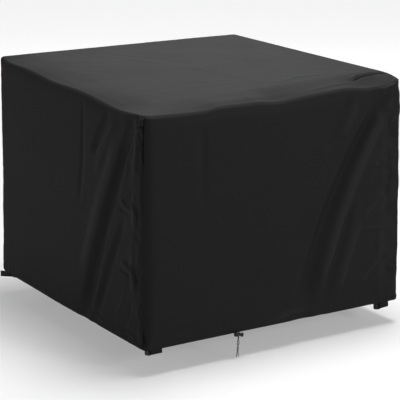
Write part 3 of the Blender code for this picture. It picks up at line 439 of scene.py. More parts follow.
# ---------------------------------------------------------------- the hanging shape
class Drape:
    """The shape in which the whole cover hangs, worked out as for the solids, from this file's own tables."""

    @staticmethod
    def roll_inset(drop: Array) -> Array:
        """How far the turn over the top edge stands in, at a drop."""
        return EDGE_ROLL - np.sqrt(EDGE_ROLL**2 - np.clip(EDGE_ROLL - drop, 0, EDGE_ROLL) ** 2)

    @staticmethod
    def corner(name: str, drop: Array) -> Array:
        """The sharp corner of the outline at a drop, before it is rounded."""
        sign = np.array(SIDES[name].start, float)
        return (HALF + read(CORNERS[name], drop, CORNER_OUT, soft=True))[..., None] * sign

    @classmethod
    def arc(cls, name: str, turn: Array, drop: Array) -> tuple[Array, Array]:
        """A point of an upright corner's turn, and the way out there.

        Args:
            name: the corner.
            turn: how far round it, from 0 to 1.
            drop: how far down.

        Returns:
            The level place and the level way out.
        """
        ending, beginning = np.array(SIDES[SIDE_BEFORE[name]].out, float), np.array(SIDES[name].out, float)
        radius = read(CORNERS[name], drop)[..., None]
        angle = (turn * np.pi / 2)[..., None]
        out = ending * np.cos(angle) + beginning * np.sin(angle)
        middle = cls.corner(name, drop) - (ending + beginning) * radius
        return middle + out * (radius - cls.roll_inset(drop)[..., None]), out

    @classmethod
    def flat(cls, name: str, along: Array, drop: Array) -> tuple[Array, Array]:
        """A point on the flat of a side, and the way out there."""
        side = SIDES[name]
        share = (along / FACE)[..., None]
        place = cls.corner(side.begins, drop) * (1 - share) + cls.corner(side.ends, drop) * share
        out = np.array(side.out, float)
        return place - out * cls.roll_inset(drop)[..., None], np.broadcast_to(out, place.shape)

    @staticmethod
    def folds(name: str, along: Array, drop: Array) -> Array:
        """How far the long folds of a side stand out at places on it."""
        relief = np.zeros(np.broadcast(along, drop).shape)
        for fold in FOLDS[name]:
            drops = (fold.top_drop, fold.mid_drop, fold.foot_drop)
            middle = 0.0
            for index, at in enumerate((fold.top_along, fold.mid_along, fold.foot_along)):
                others = [other for other in drops if other != drops[index]]
                middle = middle + at * math.prod(1 / (drops[index] - other) for other in others) * (
                    (drop - others[0]) * (drop - others[1])
                )
            share = (drop - fold.top_drop) / (fold.foot_drop - fold.top_drop)
            strength = ease((share + FOLD_LEAD) / FOLD_RISE)
            if fold.foot_drop < DROP - CASING:
                strength = strength * ease((FOLD_END - share) / FOLD_FADE)
            half = fold.top_half + (fold.foot_half - fold.top_half) * np.clip(share, 0, 1)
            relief = relief + fold.depth * strength * swell(along - middle, half)
        for row in PUCKERS[name]:
            relief = relief + row.depth * swell(along - row.along, row.half_along) * swell(
                drop - row.drop, row.half_drop
            )
        held = ease((drop - (DROP - HEM_HOLD)) / (HEM_HOLD - CASING))
        return relief * (1 - held * (1 - FOLD_LEFT_AT_HEM))

    @staticmethod
    def top_height(place: Array) -> Array:
        """Height of the top's outer face over level places, without the turn at its edges."""
        across, back = (place[..., 0] + HALF) / FACE, (place[..., 1] + HALF) / FACE
        height = (
            CORNER_HEIGHT["front"] * (1 - across) * (1 - back)
            + CORNER_HEIGHT["right"] * across * (1 - back)
            + CORNER_HEIGHT["left"] * (1 - across) * back
            + CORNER_HEIGHT["back"] * across * back
            - sum(CORNER_HEIGHT.values()) / len(CORNER_HEIGHT)
        )
        for name, side in SIDES.items():
            along = (place - np.array(side.start) * HALF) @ np.array(side.along, float)
            inward = HALF - place @ np.array(side.out, float)
            height = height - read(SAGS[name], along, soft=True) * (1 - ease(inward / SAG_REACH))
        return height + CLOTH

    @staticmethod
    def hem_rise(name: str, place: Array) -> Array:
        """How much higher than DROP the hem of a side ends over level places."""
        side = SIDES[name]
        return read(HEMS[name], (place - np.array(side.start) * HALF) @ np.array(side.along, float))

    @staticmethod
    def slump(name: str, along: Array, reach: Array) -> Array:
        """How far the cloth slumps at a reach from the top edge of a side."""
        if name not in SHOULDERS:
            return np.zeros(np.broadcast(along, reach).shape)
        return read(SHOULDERS[name], along, soft=True) * (1 - ease(reach / SHOULDER_REACH))

    @classmethod
    def outline(cls, name: str, run: Array, drop: Array) -> tuple[Array, Array, Array, Array]:
        """Places on the outline of a side, between its two corner seams.

        Args:
            name: the side.
            run: distance from the left-hand seam, or from the right-hand seam where it is below zero.
            drop: how far down, in the shape of run.

        Returns:
            The level place, the level way out, the along and the relief of the folds.
        """
        side = SIDES[name]
        radius_b, radius_e = read(CORNERS[side.begins], drop), read(CORNERS[side.ends], drop)
        seam_b, seam_e = (read(CORNERS[corner], drop, CORNER_SEAM) for corner in (side.begins, side.ends))
        arc_b, arc_e = (1 - seam_b) * radius_b * np.pi / 2, seam_e * radius_e * np.pi / 2
        length = arc_b + FACE - radius_b - radius_e + arc_e
        run = np.where(run < 0, length + run, run)
        along = radius_b + run - arc_b
        place, out = cls.flat(name, np.clip(along, radius_b, FACE - radius_e), drop)
        relief = cls.folds(name, along, drop)
        for corner, turn, inside in (
            (side.begins, seam_b + run / (radius_b * np.pi / 2), run < arc_b),
            (side.ends, (run - length + arc_e) / (radius_e * np.pi / 2), run > length - arc_e),
        ):
            turn = np.clip(turn, 0, 1)
            radius = read(CORNERS[corner], drop)
            at, way = cls.arc(corner, turn, drop)
            ending = cls.folds(SIDE_BEFORE[corner], FACE - radius * (1 - np.sin(turn * np.pi / 2)), drop)
            beginning = cls.folds(corner, radius * (1 - np.cos(turn * np.pi / 2)), drop)
            place = np.where(inside[..., None], at, place)
            out = np.where(inside[..., None], way, out)
            relief = np.where(inside, ending * (1 - turn) + beginning * turn, relief)
        return place, out, along, relief

    @classmethod
    def side_surface(cls, name: str, run: Array, drop: Array) -> tuple[Array, Array, Array]:
        """Points of a side's outer face.

        Args:
            name: the side.
            run: as for outline.
            drop: how far down.

        Returns:
            The points, the way out of the cloth and the along of each.
        """
        place, out, along, relief = cls.outline(name, run, drop)
        relief = relief + crease_relief(CREASES[name], along, drop)
        edge, edge_out, _, edge_relief = cls.outline(name, run, np.full(np.shape(drop), SEAM_DROP))
        turned = np.where(drop < EDGE_ROLL, EDGE_ROLL - drop, 0.0)
        angle = np.arccos(np.clip(turned / EDGE_ROLL, 0, 1))
        lift = 0.0
        for corner in (SIDES[name].begins, SIDES[name].ends):
            away = np.linalg.norm(place - cls.corner(corner, drop), axis=-1)
            lift = lift + HEM_LIFT[corner] * swell(away, LIFT_REACH) * ease((drop - DROP + LIFT_HEIGHT) / LIFT_HEIGHT)
        height = cls.top_height(edge + edge_out * edge_relief[..., None]) * (1 - drop / DROP)
        height = height + cls.hem_rise(name, place) * drop / DROP - drop + lift
        slump = cls.slump(name, along, drop)
        relief = relief - slump
        points = np.concatenate([place + out * relief[..., None], (height - slump)[..., None]], axis=-1)
        facing = np.concatenate([out * np.sin(angle)[..., None], np.cos(angle)[..., None]], axis=-1)
        return points, facing, along

    @classmethod
    def edge_inset(cls, place: Array) -> Array:
        """How far in from the rounded outline of the top level places lie."""
        nothing = np.zeros(place.shape[:-1])
        inset = np.full(place.shape[:-1], FAR)
        for side in SIDES.values():
            out = np.array(side.out, float)
            share = ((place - np.array(side.start) * HALF) @ np.array(side.along, float) / FACE)[..., None]
            edge = cls.corner(side.begins, nothing) * (1 - share) + cls.corner(side.ends, nothing) * share
            inset = np.minimum(inset, (edge - place) @ out)
        for name, side in SIDES.items():
            radius, sign = CORNERS[name][0].radius, np.array(side.start, float)
            reach = place - cls.corner(name, nothing) + sign * radius
            inside = (reach * sign > 0).all(axis=-1)
            inset = np.where(inside, radius - np.linalg.norm(reach, axis=-1), inset)
        return np.maximum(inset, 0.0)


# ---------------------------------------------------------------- shader maths
class Wire:
    """A shader socket that takes part in Python expressions, each of which adds its Math nodes."""

    def __init__(self, net: "Net", socket: bpy.types.NodeSocket) -> None:
        """Keeps the socket and the net that it belongs to."""
        self.net, self.socket = net, socket

    def math(self, operation: str, *others: "Wire | float") -> "Wire":
        """Puts this socket and others through a Math node."""
        return self.net.node("ShaderNodeMath", {"operation": operation}, dict(enumerate((self, *others))))

    def __add__(self, other: "Wire | float") -> "Wire":
        """Sum."""
        return self.math("ADD", other)

    def __sub__(self, other: "Wire | float") -> "Wire":
        """Difference."""
        return self.math("SUBTRACT", other)

    def __rsub__(self, other: float) -> "Wire":
        """Difference from a number."""
        return self.math("MULTIPLY", -1.0).math("ADD", other)

    def __mul__(self, other: "Wire | float") -> "Wire":
        """Product."""
        return self.math("MULTIPLY", other)

    def clamp(self) -> "Wire":
        """Kept between 0 and 1."""
        return self.math("MAXIMUM", 0.0).math("MINIMUM", 1.0)

    __radd__ = __add__
    __rmul__ = __mul__


class Net:
    """The node net of one material, with its Principled shader."""

    def __init__(self, name: str) -> None:
        """Makes an empty material of that name."""
        self.material = bpy.data.materials.new(name)
        self.material.use_nodes = True
        self.tree = self.material.node_tree
        self.shader = self.tree.nodes["Principled BSDF"]

    def node(self, kind: str, settings: dict | None = None, inputs: dict | None = None, out: int | str = 0) -> Wire:
        """Makes a node.

        Args:
            kind: its type.
            settings: properties set first; "stops" holds the (place, colour) pairs of a ramp.
            inputs: values or wires of its sockets, by name or number.
            out: which output is returned.

        Returns:
            The wire of that output.
        """
        made = self.tree.nodes.new(kind)
        for key, value in (settings or {}).items():
            if key == "stops":
                ramp = made.color_ramp
                while len(ramp.elements) < len(value):
                    ramp.elements.new(0.5)
                for element, (at, grey) in zip(ramp.elements, value):
                    element.position, element.color = at, (grey, grey, grey, 1)
            else:
                setattr(made, key, value)
        for key, value in (inputs or {}).items():
            if isinstance(value, Wire):
                self.tree.links.new(value.socket, made.inputs[key])
            else:
                made.inputs[key].default_value = value
        return Wire(self, made.outputs[out])

    def set(self, **values: float | tuple) -> None:
        """Sets constants on the shader's own sockets, with _ for a space in their names."""
        for key, value in values.items():
            self.shader.inputs[key.replace("_", " ")].default_value = value

    def feed(self, name: str, wire: Wire) -> None:
        """Feeds one of the shader's sockets."""
        self.tree.links.new(wire.socket, self.shader.inputs[name])

    def noise(self, vector: Wire, scale: float, detail: float, **more: float) -> Wire:
        """A Noise Texture node."""
        return self.node("ShaderNodeTexNoise", None, {"Vector": vector, "Scale": scale, "Detail": detail, **more})

    def rubbed(self) -> Wire:
        """The piece's rub attribute."""
        return self.node("ShaderNodeAttribute", {"attribute_name": RUB_NAME}, out="Fac")

    def tint(self, mask: Wire, dark: tuple, light: tuple) -> Wire:
        """A colour between two, by a mask."""
        return self.node("ShaderNodeMix", {"data_type": "RGBA"}, {0: mask, 6: (*dark, 1), 7: (*light, 1)}, out=2)

    def uv(self) -> tuple[Wire, Wire, Wire]:
        """The piece's own UV map: the vector and its two numbers, in metres."""
        vector = self.node("ShaderNodeUVMap", {"uv_map": UV_NAME})
        parts = self.node("ShaderNodeSeparateXYZ", None, {0: vector})
        return vector, parts, Wire(self, parts.socket.node.outputs[1])

    def bump(self, height: Wire, distance: float, strength: float, under: Wire | None = None) -> Wire:
        """A Bump node, on top of another where one is given."""
        inputs = {"Height": height, "Distance": distance, "Strength": strength}
        if under is not None:
            inputs["Normal"] = under
        return self.node("ShaderNodeBump", None, inputs)


UV_NAME = "surface"
RUB_NAME = "rub"


@dataclass(frozen=True)
class CoatedCloth:
    """Black polyester cloth, plain woven, with a coated back and a faint sheen."""

    colour: tuple = (0.0110, 0.0110, 0.0113)
    worn: tuple = (0.0190, 0.0190, 0.0194)
    thread: float = 0.00055
    roughness: float = 0.56

    def make(self) -> bpy.types.Material:
        """Makes the material."""
        net = Net("black_coated_cloth")
        vector, u, v = net.uv()
        turn = math.pi / self.thread
        warp, weft = ((axis * turn).math("SINE").math("ABSOLUTE") for axis in (u, v))
        check = (u * (turn / 2)).math("SINE") * (v * (turn / 2)).math("SINE")
        over = check.math("GREATER_THAN", 0.0)
        weave = warp * over + weft * (1 - over)
        blotch = net.noise(vector, 5.0, 3.0)
        slub = net.noise(vector, 420.0, 2.0)
        crinkle = net.noise(vector, 38.0, 3.0, Roughness=0.45)
        rub = net.rubbed()
        mask = blotch * 0.30 + slub * 0.18 + weave * 0.10 + rub * 0.75
        net.feed("Base Color", net.tint(mask, self.colour, self.worn))
        net.feed("Roughness", blotch * 0.10 + (self.roughness - 0.05) + rub * -0.05)
        folds = net.bump(crinkle, 0.0016, 0.30)
        net.feed("Normal", net.bump(weave + slub * 0.5, 0.00012, 0.35, folds))
        net.set(Specular_IOR_Level=0.03)
        return net.material


@dataclass(frozen=True)
class WovenWebbing:
    """Matte black webbing with a ribbed weave along its length."""

    colour: tuple = (0.0070, 0.0069, 0.0068)
    worn: tuple = (0.0190, 0.0185, 0.0180)
    rib: float = 0.0011

    def make(self) -> bpy.types.Material:
        """Makes the material."""
        net = Net("black_woven_webbing")
        vector, u, v = net.uv()
        zigzag = (v * (1 / self.rib / 2)).math("PINGPONG", 0.5)
        twill = ((u * (1 / self.rib) + zigzag * 2.0) * (2 * math.pi)).math("SINE")
        ribs = (v * (2 * math.pi / self.rib)).math("SINE")
        fuzz = net.noise(vector, 900.0, 2.0)
        height = twill * 0.35 + ribs * 0.35 + fuzz * 0.5
        net.feed("Base Color", net.tint(height * 0.5 + 0.3, self.colour, self.worn))
        net.feed("Roughness", fuzz * 0.15 + 0.72)
        net.feed("Normal", net.bump(height, 0.00020, 0.6))
        net.set(Specular_IOR_Level=0.08)
        return net.material


@dataclass(frozen=True)
class MouldedPlastic:
    """Black moulded plastic with a fine spark-eroded grain."""

    name: str
    colour: tuple = (0.0090, 0.0090, 0.0095)
    worn: tuple = (0.0200, 0.0200, 0.0205)
    roughness: float = 0.34

    def make(self) -> bpy.types.Material:
        """Makes the material."""
        net = Net(self.name)
        place = net.node("ShaderNodeTexCoord", out="Object")
        grain = net.noise(place, 2600.0, 2.0)
        handled = net.noise(place, 160.0, 3.0)
        edges = net.node("ShaderNodeNewGeometry", out="Pointiness")
        ridge = edges.math("SUBTRACT", 0.5).math("MULTIPLY", 6.0).clamp()
        net.feed("Base Color", net.tint(handled * 0.35 + ridge * 0.5, self.colour, self.worn))
        net.feed("Roughness", handled * 0.16 + (self.roughness - 0.06))
        net.feed("Normal", net.bump(grain, 0.00008, 0.5))
        net.set(Specular_IOR_Level=0.22)
        return net.material


@dataclass(frozen=True)
class BraidedCord:
    """Black braided polyester cord."""

    colour: tuple = (0.0100, 0.0100, 0.0100)
    worn: tuple = (0.0420, 0.0420, 0.0420)

    def make(self) -> bpy.types.Material:
        """Makes the material."""
        net = Net("black_braided_cord")
        vector, _, _ = net.uv()
        fuzz = net.noise(vector, 1500.0, 3.0)
        rub = net.rubbed()
        net.feed("Base Color", net.tint(rub * 0.6 + fuzz * 0.4, self.colour, self.worn))
        net.feed("Roughness", fuzz * 0.2 + 0.62)
        net.feed("Normal", net.bump(fuzz, 0.00015, 0.5))
        net.set(Specular_IOR_Level=0.10)
        return net.material


@dataclass(frozen=True)
class SewingThread:
    """Black twisted polyester thread."""

    colour: tuple = (0.0140, 0.0140, 0.0144)
    worn: tuple = (0.0360, 0.0360, 0.0360)

    def make(self) -> bpy.types.Material:
        """Makes the material."""
        net = Net("black_thread")
        place = net.node("ShaderNodeTexCoord", out="Object")
        twist = net.node("ShaderNodeTexWave", None, {"Vector": place, "Scale": 1800.0, "Distortion": 2.0})
        net.feed("Base Color", net.tint(twist, self.colour, self.worn))
        net.feed("Roughness", twist * 0.15 + 0.45)
        net.set(Specular_IOR_Level=0.10)
        return net.material


@dataclass(frozen=True)
class PaleFloor:
    """A pale, matte studio floor, lit from within where the lamps fall short."""

    grey: float = 0.40
    glow: float = 0.78
    near_glow: float = 0.42
    near: float = 1.5  # how far out it starts to glow more, and how much more each metre
    rate: float = 0.22

    def make(self) -> bpy.types.Material:
        """Makes the material."""
        net = Net("pale_floor")
        place = net.node("ShaderNodeTexCoord", out="Object")
        away = net.node("ShaderNodeVectorMath", {"operation": "LENGTH"}, {0: place}, out="Value")
        far = ((away - self.near) * self.rate).clamp()
        cloud = net.noise(place, 0.6, 2.0)
        net.feed("Base Color", net.tint(cloud, (self.grey - 0.01,) * 3, (self.grey + 0.01,) * 3))
        net.feed("Emission Color", net.tint(far, (self.near_glow,) * 3, (1, 1, 1)))
        net.set(Roughness=0.9, Specular_IOR_Level=0.1, Emission_Strength=self.glow)
        return net.material


class Finish(Enum):
    """The finishes of the cover and its stage."""

    CLOTH = CoatedCloth()
    WEBBING = WovenWebbing()
    BUCKLE = MouldedPlastic("black_buckle_plastic")
    LOCK = MouldedPlastic("black_lock_plastic", roughness=0.28)
    CORD = BraidedCord()
    THREAD = SewingThread()
    FLOOR = PaleFloor()

    def material(self) -> bpy.types.Material:
        """The finish's material, made once."""
        if self not in _MADE:
            _MADE[self] = self.value.make()
        return _MADE[self]


_MADE: dict[Finish, bpy.types.Material] = {}


# ---------------------------------------------------------------- meshes
def deselect() -> None:
    """Leaves no object selected."""
    for item in bpy.context.selected_objects:
        item.select_set(False)


def only(item: bpy.types.Object) -> bpy.types.Object:
    """Selects one object alone and makes it the active one."""
    deselect()
    item.select_set(True)
    bpy.context.view_layer.objects.active = item
    return item


def place_in_mesh(item: bpy.types.Object, turn: Matrix) -> None:
    """Puts an object's place into its mesh, and leaves the object at the origin."""
    item.data.transform(turn @ item.matrix_world)
    item.matrix_world = Matrix.Identity(4)


def object_from(
    name: str, points: Array, faces: list, uvs: Array | None = None, edges: Sequence[tuple[int, int]] = ()
) -> bpy.types.Object:
    """Makes a mesh object from arrays.

    Args:
        name: the object's name.
        points: one row for each vertex.
        faces: the vertex numbers of each face.
        uvs: a UV pair for each vertex, in metres.
        edges: the vertex numbers of each edge that has no face.

    Returns:
        The object, with smooth faces.
    """
    mesh = bpy.data.meshes.new(name)
    mesh.from_pydata(np.asarray(points).tolist(), edges, faces)
    if uvs is not None:
        layer = mesh.uv_layers.new(name=UV_NAME)
        corners = np.empty(len(mesh.loops), dtype=np.int32)
        mesh.loops.foreach_get("vertex_index", corners)
        layer.data.foreach_set("uv", np.asarray(uvs, np.float32)[corners].ravel())
    mesh.shade_smooth()
    made = bpy.data.objects.new(name, mesh)
    bpy.context.collection.objects.link(made)
    return made


def add_attribute(item: bpy.types.Object, values: Array) -> None:
    """Writes a number for each vertex into the rub attribute."""
    layer = item.data.attributes.new(RUB_NAME, "FLOAT", "POINT")
    layer.data.foreach_set("value", np.asarray(values, np.float32))


def grid_faces(rows: int, columns: int, ring: bool = False) -> list[list[int]]:
    """The quads of a grid of points, facing the side from which the columns run to the right.

    Args:
        rows: how many rows of points.
        columns: how many points a row has.
        ring: whether the last column joins the first.

    Returns:
        The vertex numbers, four for each quad.
    """
    index = np.arange(rows * columns).reshape(rows, columns)
    right = np.roll(index, -1, axis=1) if ring else index[:, 1:]
    left = index if ring else index[:, :-1]
    return np.stack([left[:-1], left[1:], right[1:], right[:-1]], axis=-1).reshape(-1, 4).tolist()


def surface_normals(grid: Array) -> Array:
    """Unit normals of a grid of points, on the side that grid_faces faces."""
    down, right = np.gradient(grid, axis=0), np.gradient(grid, axis=1)
    normal = np.cross(down, right)
    return normal / np.maximum(np.linalg.norm(normal, axis=-1, keepdims=True), 1e-12)


def turn_outwards(item: bpy.types.Object) -> None:
    """Turns the faces of a closed mesh outwards."""
    bm = bmesh.new()
    bm.from_mesh(item.data)
    bmesh.ops.recalc_face_normals(bm, faces=bm.faces)
    bm.to_mesh(item.data)
    bm.free()


def distances(line: Array) -> Array:
    """How far along a line each of its points lies."""
    return np.concatenate([[0], np.cumsum(np.linalg.norm(np.diff(line, axis=0), axis=1))])


def points_at(at: Array, run: Array, line: Array) -> Array:
    """The points of a line at given distances along it."""
    return np.stack([np.interp(at, run, line[:, axis]) for axis in range(3)], axis=1)


def apply(item: bpy.types.Object, kind: str, **settings: object) -> None:
    """Adds a modifier to an object and applies it."""
    modifier = item.modifiers.new(kind.lower(), kind)
    for key, value in settings.items():
        setattr(modifier, key, value)
    only(item)
    bpy.ops.object.modifier_apply(modifier=modifier.name)


def dress(
    item: bpy.types.Object, finish: Finish, replaces: Sequence[str] = (), sharp: float | None = None
) -> bpy.types.Object:
    """Gives a piece its finish and the body that it rides on.

    Args:
        item: the piece.
        finish: its finish.
        replaces: the solids that it stands for.
        sharp: the angle, in degrees, above which its edges stay sharp.

    Returns:
        The piece.
    """
    item.data.materials.clear()
    item.data.materials.append(finish.material())
    if sharp is not None:
        item.data.shade_smooth()
        item.data.set_sharp_from_angle(angle=math.radians(sharp))
    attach(item, "root")
    if replaces:
        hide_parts(*replaces)
    LOG.info("%s: %d faces", item.name, len(getattr(item.data, "polygons", ())))
    return item


# ---------------------------------------------------------------- drawcord
class LeadRow(NamedTuple):
    """A point of the cord's way out of the hem: distance from it, height above the lock's middle."""

    out: float
    up: float


class TailRow(NamedTuple):
    """A point of the cord's way down: below the lock's middle, away from the middle line, in front of it."""

    below: float
    spread: float
    front: float


LEAD_ROWS = (LeadRow(0.0, 0.0135), LeadRow(0.0032, 0.0137), LeadRow(0.0066, 0.0122), LeadRow(0.0086, 0.0090))
LOCK_UPS = (0.0050, 0.0, -0.0050, -0.0095)
TAIL_ROWS = (
    TailRow(0.015, -0.0019, 0.0004),
    TailRow(0.022, -0.0002, 0.0019),
    TailRow(0.029, 0.0026, 0.0012),
    TailRow(0.036, 0.0038, 0.0000),
    TailRow(0.042, 0.0028, -0.0010),
    TailRow(0.049, 0.0004, -0.0019),
    TailRow(0.056, -0.0014, -0.0014),
    TailRow(0.064, -0.0020, 0.0000),
    TailRow(0.073, -0.0026, 0.0000),
    TailRow(0.083, -0.0036, 0.0000),
    TailRow(0.093, -0.0048, 0.0000),
)
TAIL_LEAN = 0.070  # how far the ends lean sideways on their way down
SPLINE_STEPS = 24  # points worked out between two of a route's own


def lock_place() -> Vector:
    """The middle of the cord lock, just outside the front hem."""
    place, out = Drape.flat("front", np.array(LOCK_ALONG), np.array(LOCK_DROP))
    return Vector((*(place + out * (GAP + LOCK_RADIUS)), -LOCK_DROP))


def smooth_line(points: Sequence[Vector], step: float) -> Array:
    """Evenly spaced points on one smooth curve through the points given."""
    ends = [points[0] * 2 - points[1], *points, points[-1] * 2 - points[-2]]
    fine = []
    for before, start, end, after in zip(ends, ends[1:], ends[2:], ends[3:]):
        for share in np.arange(0, 1, 1 / SPLINE_STEPS):
            cubic = (2 * before - 5 * start + 4 * end - after) * share**2
            cubic += (3 * start - before - 3 * end + after) * share**3
            fine.append(0.5 * (2 * start + (end - before) * share + cubic))
    line = np.array([*fine, points[-1]])
    run = distances(line)
    return points_at(np.linspace(0, run[-1], round(run[-1] / step) + 1), run, line)


@dataclass
class Drawcord:
    """The two free ends of the drawcord, braided, with heat-sealed tips."""

    diameter: float = CORD
    sides: int = 24
    ring_step: float = 0.00045
    strands: int = 8
    braid_pitch: float = 0.0064
    relief: float = 0.00013
    tip: float = 0.0009  # length over which a sealed end is rounded
    tip_share: float = 0.05  # smallest share of its section's area there
    aside: tuple[float, float, float] = (1.0, 0.15, 0.0)  # a way that the cord never runs

    def route(self, sign: int) -> Array:
        """The route of one end: out of the hem, through the lock and down."""
        middle = lock_place()
        hem_y = Drape.flat("front", np.array(LOCK_ALONG), np.array(DROP))[0][1] - GAP
        aside = Vector((sign * CORD_SPACING / 2, 0, 0))
        lean = Vector((math.sin(LOCK_TILT), 0, math.cos(LOCK_TILT)))
        points = [
            Vector((middle.x + lean.x * row.up, hem_y - row.out, middle.z + row.up)) + aside for row in LEAD_ROWS
        ]
        points += [middle + aside + lean * up for up in LOCK_UPS]
        for row in TAIL_ROWS:
            sideways = -sign * row.spread - TAIL_LEAN * row.below
            points.append(middle + Vector((sideways, sign * row.front, -row.below)))
        return smooth_line(points, self.ring_step)

    def build(self, name: str, sign: int, node: str, on_it: Sequence[bpy.types.Object]) -> bpy.types.Object:
        """Makes one end as a tube with its braid raised on it.

        Args:
            name: the piece's name.
            sign: which side of the middle it runs on.
            node: the solid that it replaces.
            on_it: not used.

        Returns:
            The cord.
        """
        line = self.route(sign)
        tangent = np.gradient(line, axis=0)
        tangent /= np.linalg.norm(tangent, axis=1, keepdims=True)
        across = np.cross(tangent, self.aside)
        across /= np.linalg.norm(across, axis=1, keepdims=True)
        other = np.cross(tangent, across)
        run = np.linspace(0, len(line) * self.ring_step, len(line))[:, None]
        angle = np.linspace(0, 2 * np.pi, self.sides, endpoint=False)[None, :]
        turn, climb = angle * self.strands / 2, run * 2 * np.pi / self.braid_pitch * self.strands / 4
        braid = np.maximum(np.cos(turn + climb), np.cos(turn - climb))
        rubbed = np.clip(braid, 0, 1)
        radius = self.diameter / 2 - self.relief + self.relief * rubbed
        to_end = np.minimum(run, run[-1] - run)
        radius = radius * np.sqrt(np.clip(1 - (1 - np.clip(to_end / self.tip, 0, 1)) ** 2, self.tip_share, 1))
        ring = across[:, None] * np.cos(angle)[..., None] + other[:, None] * np.sin(angle)[..., None]
        grid = line[:, None] + ring * radius[..., None]
        uvs = np.stack(np.broadcast_arrays(angle * self.diameter / 2, run), axis=-1)
        count = grid.shape[0] * grid.shape[1]
        points = np.concatenate([grid.reshape(-1, 3), line[[0, -1]]])
        faces = [face[::-1] for face in grid_faces(*grid.shape[:2], ring=True)]
        last = count - self.sides
        for side in range(self.sides):
            after = (side + 1) % self.sides
            faces += [[count, side, after], [count + 1, last + after, last + side]]
        uvs = np.concatenate([uvs.reshape(-1, 2), [[0, 0], [0, run[-1, 0]]]])
        cord = object_from(name, points, faces, uvs)
        add_attribute(cord, np.concatenate([rubbed.ravel(), [0.5, 0.5]]))
        turn_outwards(cord)
        dress(cord, Finish.CORD, (node,))
        return cord


# ---------------------------------------------------------------- cloth
@dataclass
class ClothGrid:
    """A finished grid of cloth: its points, and the rows and columns that stitching follows."""

    points: Array
    seam_row: int
    hem_row: int
    left_column: int
    right_column: int

    def row(self, index: int) -> tuple[Array, Array]:
        """A row of points and their normals, between the two seam columns."""
        part = slice(self.left_column, self.right_column + 1)
        return self.points[index, part], surface_normals(self.points)[index, part]

    def column(self, index: int) -> tuple[Array, Array]:
        """A column of points and their normals, from the top seam to the hem."""
        part = slice(self.seam_row, self.hem_row + 1)
        return self.points[part, index], surface_normals(self.points)[part, index]


EDGE_STEPS = (1e-7, 0.0003, 0.0009, 0.0018, 0.0032, 0.0050, 0.0075, 0.0105, 0.0145, 0.0195)  # lines beside a seam
STITCH_INDEX = 5  # the column or row of a seam's stitches, counted from the seam
LIP = 0.0012  # radius with which the cloth turns in at a seam
ALLOWANCE = (0.0045, 0.0022)  # depths of the turned-in edge behind a seam
HEM_STITCH_DROP = DROP - CASING + 0.0030
CORD_DROP = DROP - 0.0125  # where the drawcord runs in its casing


class Edge(NamedTuple):
    """An edge of a grid: its axis, which end of that it is, and the way off the grid in the UV map."""

    axis: int
    end: int
    away: Pair


FIRST_ROW, LAST_ROW = Edge(0, 0, (0.0, -1.0)), Edge(0, -1, (0.0, 1.0))
FIRST_COLUMN, LAST_COLUMN = Edge(1, 0, (-1.0, 0.0)), Edge(1, -1, (1.0, 0.0))


class Bumps(NamedTuple):
    """Uneven relief of the cloth: its height, how broad its bumps are, its seed, and how much finer it is upwards."""

    height: float
    breadth: float
    seed: float = 0.0
    upwards: float = 1.0

    def over(self, points: Array, seed: float = 0.0) -> Array:
        """The relief at the points of a grid."""
        return self.height * soft_noise(points * [1, 1, self.upwards], self.breadth, seed + self.seed)


def lip_depth(distance: Array) -> Array:
    """How far the cloth has turned in at a distance from its seam."""
    return LIP - np.sqrt(LIP**2 - np.clip(LIP - distance, 0, LIP) ** 2)


def add_allowance(points: Array, facing: Array, coords: Array, edges: Sequence[Edge]) -> tuple[Array, Array]:
    """Turns the seamed edges of a panel inwards behind the cloth.

    Args:
        points: the grid of points.
        facing: the way out of the cloth at each.
        coords: the UV pair of each.
        edges: the seamed edges.

    Returns:
        The grid with its new rows and columns, and its UV pairs.
    """
    for axis, end, away in edges:
        longer = []
        for grid, step in ((points, -facing), (coords, np.broadcast_to(away, coords.shape)), (facing, 0 * facing)):
            edge, way = np.take(grid, [end], axis), np.take(step, [end], axis)
            lines = [edge + way * depth for depth in ALLOWANCE]
            longer.append(np.concatenate([grid, *lines[::-1]] if end else [*lines, grid], axis))
        points, coords, facing = longer
    return points, coords


def sew(
    name: str, node: str, points: Array, coords: Array, creases: Sequence[Crease], rubbing: Pair
) -> bpy.types.Object:
    """Makes a panel of its grid, rubbed along its creases.

    Args:
        name: the piece's name.
        node: the solid that it replaces.
        points: the grid of points of its outer face.
        coords: the UV pair of each, which is also its place among the creases.
        creases: the panel's creases.
        rubbing: the height at which a crease is fully rubbed, and how strong that is.

    Returns:
        The panel.
    """
    cloth = object_from(name, points.reshape(-1, 3), grid_faces(*points.shape[:2]), coords.reshape(-1, 2))
    full, strength = rubbing
    rub = np.clip(np.abs(crease_relief(creases, coords[..., 0], coords[..., 1])) / full, 0, 1) * strength
    add_attribute(cloth, rub.ravel())
    apply(cloth, "SOLIDIFY", thickness=CLOTH, offset=-1.0, use_even_offset=False, use_rim=True)
    return dress(cloth, Finish.CLOTH, (node,))


